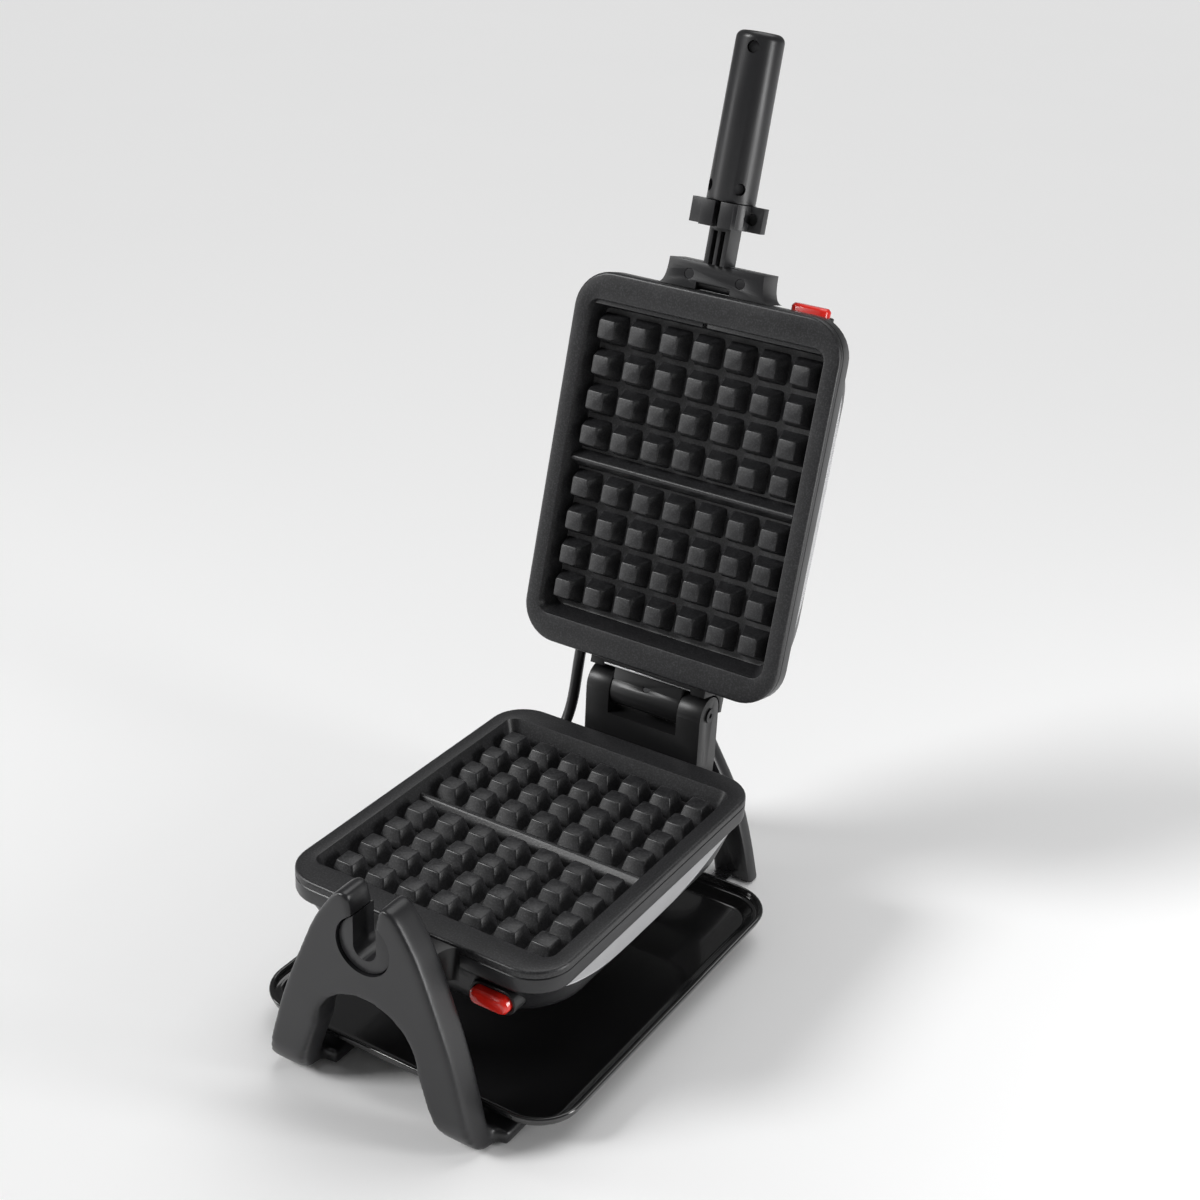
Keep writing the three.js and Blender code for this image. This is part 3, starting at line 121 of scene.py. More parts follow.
class Board:
    """The node board of one material."""

    def __init__(self, name: str) -> None:
        """Starts a material with its principled shader."""
        self.material = bpy.data.materials.new(name)
        self.material.use_nodes = True
        self.tree = self.material.node_tree
        self.shader = self.tree.nodes["Principled BSDF"]
        self.place = self.tree.nodes.new("ShaderNodeTexCoord").outputs["Object"]

    def node(self, kind: str, **settings: object) -> bpy.types.Node:
        """Adds a node.

        Args:
            kind: Blender's name of the node type.
            settings: Properties of the node, or values of its inputs by their name with _ for a space.

        Returns:
            The new node.
        """
        made = self.tree.nodes.new(kind)
        for key, value in settings.items():
            label = key.replace("_", " ")
            if label in made.inputs:
                made.inputs[label].default_value = value
            else:
                setattr(made, key, value)
        return made

    def link(self, source: bpy.types.NodeSocket, target: bpy.types.NodeSocket) -> None:
        """Joins two sockets."""
        self.tree.links.new(source, target)

    def noise(self, scale: float, detail: float, stretch: Point = (1, 1, 1)) -> bpy.types.NodeSocket:
        """Adds noise in the piece's own place.

        Args:
            scale: Lumps per metre.
            detail: Octaves of finer noise.
            stretch: Factors on the scale along x, y and z.

        Returns:
            The noise value.
        """
        mapping = self.node("ShaderNodeMapping")
        mapping.inputs["Scale"].default_value = stretch
        self.link(self.place, mapping.inputs["Vector"])
        noise = self.node("ShaderNodeTexNoise", Scale=scale, Detail=detail)
        self.link(mapping.outputs["Vector"], noise.inputs["Vector"])
        return noise.outputs["Fac"]

    def ramp(self, value: bpy.types.NodeSocket, low: float, high: float, at: Pair) -> bpy.types.NodeSocket:
        """Maps a value in the range at to a range from low to high, and holds it at both ends."""
        node = self.node("ShaderNodeMapRange", clamp=True)
        node.inputs["From Min"].default_value = at[0]
        node.inputs["From Max"].default_value = at[1]
        node.inputs["To Min"].default_value = low
        node.inputs["To Max"].default_value = high
        self.link(value, node.inputs["Value"])
        return node.outputs["Result"]

    def tint(self, value: bpy.types.NodeSocket, first: Point, second: Point) -> None:
        """Colours the shader between two colours by a value from 0 to 1."""
        mix = self.node("ShaderNodeMix", data_type="RGBA")
        colours = [socket for socket in mix.inputs if socket.type == "RGBA"]
        colours[0].default_value = (*first, 1)
        colours[1].default_value = (*second, 1)
        self.link(value, mix.inputs["Factor"])
        out = [socket for socket in mix.outputs if socket.type == "RGBA"][0]
        self.link(out, self.shader.inputs["Base Color"])

    def relief(self, value: bpy.types.NodeSocket, depth: float, strength: float) -> None:
        """Raises the surface by a value, over any relief that it already has.

        Args:
            value: Height from 0 to 1.
            depth: Height of the relief in metres.
            strength: Share of the relief that shows.
        """
        bump = self.node("ShaderNodeBump", Distance=depth, Strength=strength)
        self.link(value, bump.inputs["Height"])
        links = self.shader.inputs["Normal"].links
        if links:
            self.link(links[0].from_socket, bump.inputs["Normal"])
        self.link(bump.outputs["Normal"], self.shader.inputs["Normal"])


@dataclass(frozen=True)
class Finish:
    """A finish with a slow change of tone, an uneven polish and a fine grain."""

    name: str
    colour: Point
    roughness: float
    metallic: float = 0.0
    specular: float = 0.4
    coat: float = 0.0
    coat_roughness: float = 0.05
    tone_change: float = 0.12
    tone_scale: float = 22
    polish_change: float = 0.05
    grain_scale: float = 1400
    grain_depth: float = 0.00008
    grain_strength: float = 0.35

    def material(self) -> bpy.types.Material:
        """Makes the material of this finish."""
        board = Board(self.name)
        shader = board.shader
        shader.inputs["Metallic"].default_value = self.metallic
        shader.inputs["Specular IOR Level"].default_value = self.specular
        shader.inputs["Coat Weight"].default_value = self.coat
        shader.inputs["Coat Roughness"].default_value = self.coat_roughness
        slow = board.noise(self.tone_scale, 3)
        share = board.ramp(slow, 0, 1, NOISE_SPREAD)
        board.tint(share, self.colour, tuple(c * (1 - self.tone_change) for c in self.colour))
        low, high = self.roughness - self.polish_change, self.roughness + self.polish_change
        board.link(board.ramp(slow, low, high, POLISH_SPREAD), shader.inputs["Roughness"])
        board.relief(board.noise(self.grain_scale, 2), self.grain_depth, self.grain_strength)
        self.dress(board)
        return board.material

    def dress(self, board: Board) -> None:
        """Adds what only this kind of finish has."""


@dataclass(frozen=True)
class Coating(Finish):
    """Non-stick coating: tiny light flecks in a dark, slightly rough film."""

    fleck: Point = (0.2, 0.2, 0.2)
    fleck_scale: float = 900
    fleck_spread: Pair = (0.46, 0.74)

    def dress(self, board: Board) -> None:
        """Scatters the flecks."""
        flecks = board.ramp(board.noise(self.fleck_scale, 4), 0, 1, self.fleck_spread)
        board.tint(flecks, self.colour, self.fleck)
        board.relief(board.noise(self.fleck_scale, 1), self.grain_depth * 2, self.grain_strength)


@dataclass(frozen=True)
class Brushed(Finish):
    """Metal with fine lines along one direction."""

    line_scale: float = 300
    stretch: Point = (0.05, 1, 1)
    polish_shares: Pair = (0.7, 1.4)

    def dress(self, board: Board) -> None:
        """Draws the lines into the polish and the relief."""
        lines = board.noise(self.line_scale, 5, self.stretch)
        low, high = (self.roughness * share for share in self.polish_shares)
        board.link(board.ramp(lines, low, high, NOISE_SPREAD), board.shader.inputs["Roughness"])
        board.relief(lines, self.grain_depth, self.grain_strength)


@dataclass(frozen=True)
class Enamel(Finish):
    """Fired enamel: glassy, with a faint orange-peel waviness."""

    peel_scale: float = 130
    peel_depth: float = 0.0003
    peel_strength: float = 0.12

    def dress(self, board: Board) -> None:
        """Adds the waviness."""
        board.relief(board.noise(self.peel_scale, 1), self.peel_depth, self.peel_strength)


@dataclass(frozen=True)
class Jacket(Finish):
    """Rubber or soft plastic with a dusting of fine scuffs."""

    scuff: Point = (0.06, 0.06, 0.06)
    scuff_scale: float = 350
    scuff_spread: Pair = (0.58, 0.8)

    def dress(self, board: Board) -> None:
        """Adds the scuffs."""
        scuffs = board.ramp(board.noise(self.scuff_scale, 6), 0, 1, self.scuff_spread)
        board.tint(scuffs, self.colour, self.scuff)


class Paint(Enum):
    """Every finish of the machine."""

    SATIN = Finish("satin_plastic", (0.018, 0.018, 0.0195), 0.34, specular=0.5)
    BLACK = Finish("black_plastic", (0.011, 0.011, 0.0115), 0.38, specular=0.45)
    GREY = Finish("grey_plastic", (0.6, 0.6, 0.61), 0.5, specular=0.35, tone_change=0.08)
    PALE = Finish("bush_plastic", (0.28, 0.28, 0.27), 0.6, specular=0.3)
    COATED = Coating(
        "nonstick_coating", (0.014, 0.014, 0.015), 0.38, specular=0.5, fleck=(0.045, 0.045, 0.048),
    )
    ENAMEL = Enamel("black_enamel", (0.011, 0.011, 0.0115), 0.1, specular=0.5, polish_change=0.02, coat=0.5)
    STEEL = Brushed("steel", (0.62, 0.62, 0.63), 0.3, metallic=1, grain_depth=0.00003)
    # Screws: dark metal, made darker still so that the screw heads in the grip's holes also paint the shade
    # of those holes: partly own colour, partly painted shade.
    SCREW = Brushed("black_screw", (0.05, 0.05, 0.052), 0.36, metallic=0.8, grain_depth=0.00003)
    SHEET = Brushed("aluminium_sheet", (0.7, 0.7, 0.71), 0.35, metallic=1, stretch=(1, 0.05, 1))
    RED = Finish(
        "red_plastic", (0.86, 0.022, 0.012), 0.22, specular=0.5, coat=0.5, tone_change=0.06,
        polish_change=0.03, grain_strength=0.08,
    )
    RUBBER = Jacket("rubber", (0.014, 0.014, 0.014), 0.62, specular=0.3)
    CABLE = Jacket("cable_jacket", (0.02, 0.02, 0.021), 0.34, specular=0.5, scuff=(0.035, 0.035, 0.036))

    @property
    def slot(self) -> str:
        """The record's material slot of this finish."""
        return "rubber" if self is Paint.CABLE else self.value.name


class PaintShop:
    """Makes each finish once."""

    def __init__(self) -> None:
        """Starts with no finish made."""
        self.made: dict[Paint, bpy.types.Material] = {}

    def get(self, paint: Paint) -> bpy.types.Material:
        """Gives the material of a finish."""
        if paint not in self.made:
            self.made[paint] = paint.value.material()
        return self.made[paint]


# Modelling


@dataclass(frozen=True)
class Ring:
    """A rounded rectangle across a loft, by its half sizes, corner radius and height."""

    x: float
    y: float
    corner: float
    z: float

    def shrunk(self, inset: float) -> "Ring":
        """The same ring, smaller by an inset all round."""
        return Ring(self.x - inset, self.y - inset, self.corner - inset, self.z)

    def at(self, z: float) -> "Ring":
        """The same ring at another height."""
        return Ring(self.x, self.y, self.corner, z)


def stadium(size: Pair, shrink: float, z: float) -> Ring:
    """A ring with half-round ends, by its half sizes before they are shrunk."""
    x, y = size[0] - shrink, size[1] - shrink
    return Ring(x, y, y - 0.01, z)


def smooth_line(points: Sequence[Sequence[float]], steps: int) -> list[tuple[float, ...]]:
    """Draws a smooth line through points.

    Args:
        points: Points in two or three dimensions.
        steps: Pieces between one point and the next.

    Returns:
        Points along the line, with the given ones among them.
    """
    line: list[tuple[float, ...]] = []
    padded = [points[0], *points, points[-1]]
    for before, start, end, after in zip(padded, padded[1:], padded[2:], padded[3:]):
        corners = list(zip(before, start, end, after))
        for step in range(steps):
            t = step / steps
            line.append(tuple(
                0.5 * (
                    2 * b + (c - a) * t + (2 * a - 5 * b + 4 * c - d) * t**2
                    + (3 * b - a - 3 * c + d) * t**3
                )
                for a, b, c, d in corners
            ))
    line.append(tuple(points[-1]))
    return line


def arc(centre: Pair, radius: float, start: float, end: float, steps: int) -> list[Pair]:
    """Points on an arc, with angles in degrees."""
    places = [math.radians(start + (end - start) * i / steps) for i in range(steps + 1)]
    return [(centre[0] + radius * math.cos(a), centre[1] + radius * math.sin(a)) for a in places]


def select_only(obj: bpy.types.Object) -> None:
    """Makes an object the active one and the only selected one."""
    bpy.ops.object.select_all(action="DESELECT")
    obj.select_set(True)
    bpy.context.view_layer.objects.active = obj


class Workpiece:
    """A mesh that is shaped in millimetres by the steps of a modeller at work."""

    def __init__(self, name: str) -> None:
        """Names the piece. It has no mesh yet."""
        self.name = name
        self.obj: bpy.types.Object

    def take(self) -> None:
        """Makes this piece the only selected one."""
        select_only(self.obj)

    def adopt(self) -> None:
        """Takes up the object that an operator has just made."""
        self.obj = bpy.context.object
        self.obj.name = self.name

    def bake_place(self) -> "Workpiece":
        """Moves the object's place into its mesh, with this piece selected."""
        bpy.ops.object.transform_apply(location=True, rotation=True, scale=True)
        return self

    def edit(self) -> None:
        """Opens the piece in edit mode."""
        self.take()
        bpy.ops.object.mode_set(mode="EDIT")

    def close(self) -> None:
        """Leaves edit mode."""
        bpy.ops.object.mode_set(mode="OBJECT")

    def begin(self) -> None:
        """Starts the mesh with a plane at the origin, open in edit mode."""
        bpy.ops.object.select_all(action="DESELECT")
        bpy.ops.mesh.primitive_plane_add(size=2, location=(0, 0, 0))
        self.adopt()
        bpy.ops.object.mode_set(mode="EDIT")
        bpy.ops.mesh.select_mode(type="VERT")

    def pick_edges(self, test: Test) -> None:
        """Selects the edges whose ends both pass a test and that lie between faces at an angle."""
        bpy.ops.mesh.select_all(action="DESELECT")
        bpy.ops.mesh.select_mode(type="EDGE")
        mesh = bmesh.from_edit_mesh(self.obj.data)
        for edge in mesh.edges:
            sharp = edge.calc_face_angle(0) > math.radians(SHARP_ANGLE)
            edge.select = sharp and all(test(vertex.co) for vertex in edge.verts)
        bmesh.update_edit_mesh(self.obj.data)

    def outward(self) -> None:
        """Turns all faces outwards, in edit mode, and closes it."""
        bpy.ops.mesh.select_all(action="SELECT")
        bpy.ops.mesh.normals_make_consistent(inside=False)
        self.close()

    def block(self, x: Pair, y: Pair, z: Pair) -> "Workpiece":
        """Makes a box between two values on each axis."""
        bpy.ops.object.select_all(action="DESELECT")
        bpy.ops.mesh.primitive_cube_add(
            size=1,
            location=((x[0] + x[1]) / 2, (y[0] + y[1]) / 2, (z[0] + z[1]) / 2),
            scale=(x[1] - x[0], y[1] - y[0], z[1] - z[0]),
        )
        self.adopt()
        return self.bake_place()

    def rod(self, radius: float, z: Pair, sides: int) -> "Workpiece":
        """Makes a round bar on the z axis."""
        bpy.ops.object.select_all(action="DESELECT")
        bpy.ops.mesh.primitive_cone_add(
            vertices=sides, radius1=radius, radius2=radius, depth=z[1] - z[0],
            location=(0, 0, (z[0] + z[1]) / 2),
        )
        self.adopt()
        return self.bake_place()

    def loft(self, rings: Sequence[Ring], corner_steps: int = 8, hoop: bool = False) -> "Workpiece":
        """Makes a closed body over rounded rectangles.

        Args:
            rings: The rectangles in order.
            corner_steps: Pieces that each round corner has.
            hoop: Whether the last ring is joined to the first, in place of a face over each.

        Returns:
            This piece.
        """
        self.begin()
        for index, ring in enumerate(rings):
            if index:
                bpy.ops.mesh.select_all(action="DESELECT")
                bpy.ops.mesh.primitive_plane_add(size=2, location=(0, 0, 0))
            bpy.ops.transform.resize(value=(ring.x, ring.y, 1), center_override=(0, 0, 0))
            bpy.ops.transform.translate(value=(0, 0, ring.z))
            bpy.ops.mesh.bevel(
                offset=ring.corner, offset_type="OFFSET", segments=corner_steps, affect="VERTICES",
            )
            self.obj.vertex_groups.new(name=str(index))
            bpy.ops.object.vertex_group_assign()
            bpy.ops.mesh.delete(type="ONLY_FACE")
        pairs = [(i, i + 1) for i in range(len(rings) - 1)]
        if hoop:
            pairs.append((len(rings) - 1, 0))
        for pair in pairs:
            self.pick_groups(pair)
            bpy.ops.mesh.bridge_edge_loops()
        if not hoop:
            for end in (0, len(rings) - 1):
                self.pick_groups((end,))
                bpy.ops.mesh.edge_face_add()
        self.outward()
        bpy.ops.object.vertex_group_remove(all=True)
        return self

    def pick_groups(self, groups: Sequence[int]) -> None:
        """Selects the rings of these numbers."""
        bpy.ops.mesh.select_all(action="DESELECT")
        for group in groups:
            bpy.ops.object.vertex_group_set_active(group=str(group))
            bpy.ops.object.vertex_group_select()

    def trace(self, points: Sequence[Point]) -> None:
        """Draws a chain of edges through points, and stays in edit mode with it selected."""
        self.begin()
        bpy.ops.mesh.merge(type="CENTER")
        bpy.ops.transform.translate(value=points[0])
        for start, end in zip(points, points[1:]):
            step = tuple(b - a for a, b in zip(start, end))
            bpy.ops.mesh.extrude_vertices_move(TRANSFORM_OT_translate={"value": step})
        bpy.ops.mesh.select_all(action="SELECT")

    def prism(self, points: Sequence[Point], pull: Point) -> "Workpiece":
        """Makes a closed body by drawing an outline and pulling it.

        Args:
            points: The outline in order, without its first point again.
            pull: How far the outline's face is pulled on each axis.

        Returns:
            This piece.
        """
        self.trace([*points, points[0]])
        bpy.ops.mesh.remove_doubles(threshold=MERGE_GAP)
        bpy.ops.mesh.select_all(action="SELECT")
        bpy.ops.mesh.edge_face_add()
        bpy.ops.mesh.extrude_region_move(TRANSFORM_OT_translate={"value": pull})
        self.outward()
        return self

    def lathe(self, profile: Sequence[Pair], sides: int) -> "Workpiece":
        """Makes a turned body about the z axis.

        Args:
            profile: Pairs of a radius and a height, which start and end on the axis or close a hoop.
            sides: Pieces round the axis.

        Returns:
            This piece.
        """
        self.trace([(radius, 0, height) for radius, height in profile])
        bpy.ops.mesh.spin(steps=sides, angle=FULL_TURN, center=(0, 0, 0), axis=(0, 0, 1))
        bpy.ops.mesh.select_all(action="SELECT")
        bpy.ops.mesh.remove_doubles(threshold=MERGE_GAP)
        self.outward()
        return self

    def moved(self, x: float = 0, y: float = 0, z: float = 0) -> "Workpiece":
        """Moves the mesh."""
        return self.placed(Matrix.Translation((x, y, z)))

    def turned(self, degrees: float, axis: str) -> "Workpiece":
        """Turns the mesh about an axis through the origin."""
        return self.placed(Matrix.Rotation(math.radians(degrees), 4, axis))

    def placed(self, matrix: Matrix) -> "Workpiece":
        """Moves and turns the mesh by a matrix, with the object left at the origin."""
        self.take()
        self.obj.matrix_world = matrix
        return self.bake_place()

    def copy(self, name: str) -> "Workpiece":
        """Gives a copy with its own mesh."""
        self.take()
        bpy.ops.object.duplicate(linked=False)
        twin = Workpiece(name)
        twin.adopt()
        return twin

    def copied_from(self, node: bpy.types.Object) -> "Workpiece":
        """Copies a CAD node's shape into millimetres, merged and with its flat faces whole."""
        select_only(node)
        bpy.ops.object.duplicate(linked=False)
        self.adopt()
        bpy.ops.object.parent_clear(type="CLEAR_KEEP_TRANSFORM")
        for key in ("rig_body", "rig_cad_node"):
            del self.obj[key]
        bpy.ops.mesh.customdata_custom_splitnormals_clear()
        self.placed(Matrix.Scale(1 / MILLIMETRE, 4))
        self.edit()
        bpy.ops.mesh.select_all(action="SELECT")
        bpy.ops.mesh.remove_doubles(threshold=MERGE_GAP)
        bpy.ops.mesh.dissolve_limited(angle_limit=math.radians(FLAT_ANGLE))
        self.outward()
        return self

    def with_parts(self, others: Sequence["Workpiece"]) -> "Workpiece":
        """Joins other meshes to this one as they are."""
        self.take()
        for other in others:
            other.obj.select_set(True)
        bpy.ops.object.join()
        return self

    def combined(self, other: "Workpiece", how: Cut) -> "Workpiece":
        """Cuts, joins or intersects this body with another, which is used up."""
        self.take()
        modifier = self.obj.modifiers.new("combine", "BOOLEAN")
        modifier.operation = how.value
        modifier.solver = "EXACT"
        modifier.object = other.obj
        bpy.ops.object.modifier_apply(modifier=modifier.name)
        bpy.data.objects.remove(other.obj)
        return self

    def eased(self, width: float, segments: int = 2, angle: float = 35) -> "Workpiece":
        """Rounds all edges sharper than an angle in degrees."""
        self.take()
        modifier = self.obj.modifiers.new("ease", "BEVEL")
        modifier.width = width
        modifier.segments = segments
        modifier.limit_method = "ANGLE"
        modifier.angle_limit = math.radians(angle)
        modifier.use_clamp_overlap = True
        bpy.ops.object.modifier_apply(modifier=modifier.name)
        return self

    def rounded(self, test: Test, width: float, segments: int) -> "Workpiece":
        """Rounds the sharp edges whose ends pass a test."""
        self.edit()
        self.pick_edges(test)
        bpy.ops.mesh.bevel(offset=width, segments=segments, clamp_overlap=True)
        self.close()
        return self

    def melted(self, cell: float, rounds: int) -> "Workpiece":
        """Makes the body one even skin and softens all its edges.

        Args:
            cell: Size of the new mesh's cells.
            rounds: Rounds of smoothing.

        Returns:
            This piece.
        """
        self.take()
        skin = self.obj.modifiers.new("skin", "REMESH")
        skin.mode = "VOXEL"
        skin.voxel_size = cell
        soften = self.obj.modifiers.new("soften", "SMOOTH")
        soften.factor = 0.5
        soften.iterations = rounds
        for modifier in (skin, soften):
            bpy.ops.object.modifier_apply(modifier=modifier.name)
        return self


@dataclass
class Fitter:
    """Sets finished pieces into the row frame, paints them and hangs them on their bodies."""

    shop: PaintShop

    def fit(
        self, piece: Workpiece, place: Matrix, paint: Paint, body: Body,
        replaces: Sequence[str] = (), smooth_angle: float = 35,
    ) -> bpy.types.Object:
        """Finishes a piece.

        Args:
            piece: The piece in millimetres.
            place: From the piece's own frame to the row frame, both in millimetres.
            paint: Its finish.
            body: The CAD body it rides on.
            replaces: CAD nodes that it stands for.
            smooth_angle: Edges that turn less than this many degrees are shaded smooth.

        Returns:
            The piece's object.
        """
        piece.placed(Matrix.Scale(MILLIMETRE, 4) @ place)
        obj = piece.obj
        obj.name = piece.name
        obj.data.name = piece.name
        bpy.ops.object.shade_smooth_by_angle(angle=math.radians(smooth_angle))
        obj.data.materials.clear()
        obj.data.materials.append(self.shop.get(paint))
        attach(obj, body.value)
        if replaces:
            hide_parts(*replaces)
        LOG.info("%s: %d faces on %s", piece.name, len(obj.data.polygons), body.value)
        return obj


# The machine's shared sizes and places


@dataclass
class Machine:
    """Sizes and places that several sub-assemblies share."""

    parting_height: float = 115
    hinge_reach: float = 150.6
    hinge_rise: float = 25.2
    open_angle: float = 104

    @property
    def stand(self) -> Matrix:
        """From the stand's frame, with z = 0 on the table, to the row frame."""
        low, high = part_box("hinge_pin")
        shift = (low.y + high.y) / 2 / MILLIMETRE - self.hinge_reach
        return Matrix.Translation((0, shift, 0))

    @property
    def lower(self) -> Matrix:
        """From the lower half's frame to the row frame."""
        return self.stand @ Matrix.Translation((0, 0, self.parting_height))

    @property
    def upper(self) -> Matrix:
        """From the upper half's frame to the row frame: turned over, then opened on the hinge."""
        hinge = Matrix.Translation((0, self.hinge_reach, self.parting_height + self.hinge_rise))
        opened = Matrix.Rotation(math.radians(-self.open_angle), 4, "X")
        back = Matrix.Translation((0, -self.hinge_reach, -self.hinge_rise))
        return self.stand @ hinge @ opened @ back @ Matrix.Rotation(math.pi, 4, "Y")


@dataclass
class HalfSizes:
    """Outline of a baking half."""

    width: float = 98
    length: float = 128
    corner: float = 26
    band: float = 16.5
    depth: float = 50
    wall: float = 2.5
    belly_inset: float = 24
    belly_corner: float = 45
    belly_shares: tuple[Point, ...] = (
        (0.03, 0.13, 0), (0.22, 0.21, 0.3), (0.46, 0.27, 0.63), (0.7, 0.35, 0.95),
        (0.85, 0.5, 1), (0.955, 0.72, 1), (1, 1, 0.95),
    )

    def belly(self, inset: float, steps: int = 2) -> list[Ring]:
        """Rings of the belly from the band down, shrunk by an inset."""
        rows = smooth_line(self.belly_shares, steps)
        return [
            Ring(
                self.width - share * self.belly_inset - inset,
                self.length - share * self.belly_inset - inset,
                self.corner + growth * (self.belly_corner - self.corner) - inset,
                -self.band - depth * (self.depth - self.band),
            )
            for depth, share, growth in rows
        ]


# Sub-assemblies


@dataclass
class CookingPlate:
    """A cast, coated cooking plate with its grid of pegs."""

    fitter: Fitter
    half: HalfSizes
    top: float = -0.5
    flange: float = 5
    edge_round: float = 2
    well_width: float = 87
    well_length: float = 109
    well_corner: float = 8
    well_slope: float = 5.5
    well_depth: float = 15.3
    lip: float = 0.9
    wall: float = 3
    pitch: float = 24
    columns: int = 7
    rows: int = 4
    first_row: float = 17.9
    peg_base: float = 19
    peg_top: float = 12.5
    peg_height: float = 12.5
    peg_corner: float = 1.3
    peg_edge: float = 0.7
    peg_foot: float = 1.2
    peg_flare: float = 0.8
    ridge_base: float = 12
    ridge_top: float = 3.2
    ridge_height: float = 9
    ridge_edge: float = 0.6
    ridge_foot: float = 1
    under_edge: float = 0.4
    ledge_width: float = 3.2
    ledge_below: float = 2.4
    ledge_notch: float = 1.6
    ledge_edge: float = 0.5

    def rings(self) -> list[Ring]:
        """The plate without its pegs, from the underside of the well round to the well's floor."""
        half = self.half
        edge = self.edge_round
        bottom = self.top - self.well_depth - self.wall
        under = self.top - self.flange
        mouth = Ring(self.well_width, self.well_length, self.well_corner, self.top)
        slope = self.well_slope / self.well_depth
        rings = [
            mouth.shrunk(self.well_slope - self.wall + 1).at(bottom),
            mouth.shrunk(self.well_slope - self.wall).at(bottom + 1),
            mouth.shrunk(slope * self.flange - self.wall).at(under),
            Ring(half.width - self.under_edge, half.length - self.under_edge, half.corner, under),
            Ring(half.width, half.length, half.corner, under + self.under_edge),
        ]
        for i in range(5):
            angle = QUARTER_TURN * i / 4
            shrink = edge * (1 - math.cos(angle))
            height = self.top - edge * (1 - math.sin(angle))
            rings.append(Ring(half.width - shrink, half.length - shrink, half.corner - shrink, height))
        lip = self.lip
        rings += [
            mouth.shrunk(-lip).at(self.top - 0.02),
            mouth.shrunk(-lip * 0.3).at(self.top - lip * 0.25),
            mouth.shrunk(lip * 0.1).at(self.top - lip),
        ]
        floor = mouth.shrunk(self.well_slope)
        deep = self.top - self.well_depth
        corner = self.well_corner - self.well_slope / 2
        fillet = [(0.5, 0, 1.2), (0.1, 0, 0.3), (-0.8, -0.6, 0)]
        rings += [Ring(floor.x + out, floor.y + out, corner + rise, deep + up) for out, rise, up in fillet]
        return rings

    def peg(self) -> Workpiece:
        """One peg on z = 0, with a soft foot, round corners and an eased top."""
        base, top = self.peg_base / 2, self.peg_top / 2
        slope = (base - top) / self.peg_height
        foot, flare, corner, edge = self.peg_foot, self.peg_flare, self.peg_corner, self.peg_edge
        rows = [
            (base + flare + 0.3, corner + flare, -self.wall / 2),
            (base + flare, corner + 0.6, 0.02),
            (base - slope * foot + 0.1, corner, foot),
            (top + slope * edge * 1.2, corner, self.peg_height - edge),
            (top - 0.15, corner, self.peg_height - edge * 0.3),
            (top - edge, corner * 0.6, self.peg_height),
        ]
        return Workpiece("peg").loft([Ring(side, side, corner, z) for side, corner, z in rows], 2)

    def build(self, name: str) -> Workpiece:
        """Makes a whole plate in a half's frame."""
        floor = self.top - self.well_depth
        plate = Workpiece(name).loft(self.rings(), 10)
        first = self.peg()
        pegs = []
        middle = (self.columns - 1) / 2
        for column in range(self.columns):
            for row in range(self.rows):
                for side in (1, -1):
                    y = side * (self.first_row + row * self.pitch)
                    pegs.append(first.copy("peg").moved((column - middle) * self.pitch, y, floor))
        bpy.data.objects.remove(first.obj)
        plate.combined(self.ridge(floor), Cut.JOIN)
        shelf = self.top - self.ledge_below
        y = (-self.well_length - OVERRUN, -self.well_length + self.ledge_width)
        for side in (1, -1):
            x = sorted((side * self.ledge_notch, side * (self.well_width - self.well_slope / 2)))
            ledge = Workpiece("ledge").block(tuple(x), y, (floor - OVERRUN, shelf)).eased(self.ledge_edge)
            plate.combined(ledge, Cut.JOIN)
        return plate.with_parts(pegs)

    def ridge(self, floor: float) -> Workpiece:
        """The ridge across the well, between its two fields of pegs."""
        base, top = self.ridge_base / 2, self.ridge_top / 2
        reach = self.well_width - self.well_slope / 2
        crest = floor + self.ridge_height
        right = [
            (base + self.peg_flare, floor - self.wall / 2), (base - 0.3, floor + self.ridge_foot),
            (top, crest - self.ridge_edge), (top * 0.4, crest),
        ]
        left = [(-y, z) for y, z in reversed(right)]
        outline = [(-reach, y, z) for y, z in [*left[-1:], *right, *left[:-1]]]
        return Workpiece("ridge").prism(outline, (2 * reach, 0, 0))

    def fit(self, machine: Machine) -> None:
        """Makes both plates and sets them in their halves."""
        lower = self.build("lower_plate_casting")
        upper = lower.copy("upper_plate_casting")
        self.fitter.fit(lower, machine.lower, Paint.COATED, Body.LOWER_PLATE, ["lower_cooking_plate"])
        self.fitter.fit(upper, machine.upper, Paint.COATED, Body.UPPER_PLATE, ["upper_cooking_plate"])


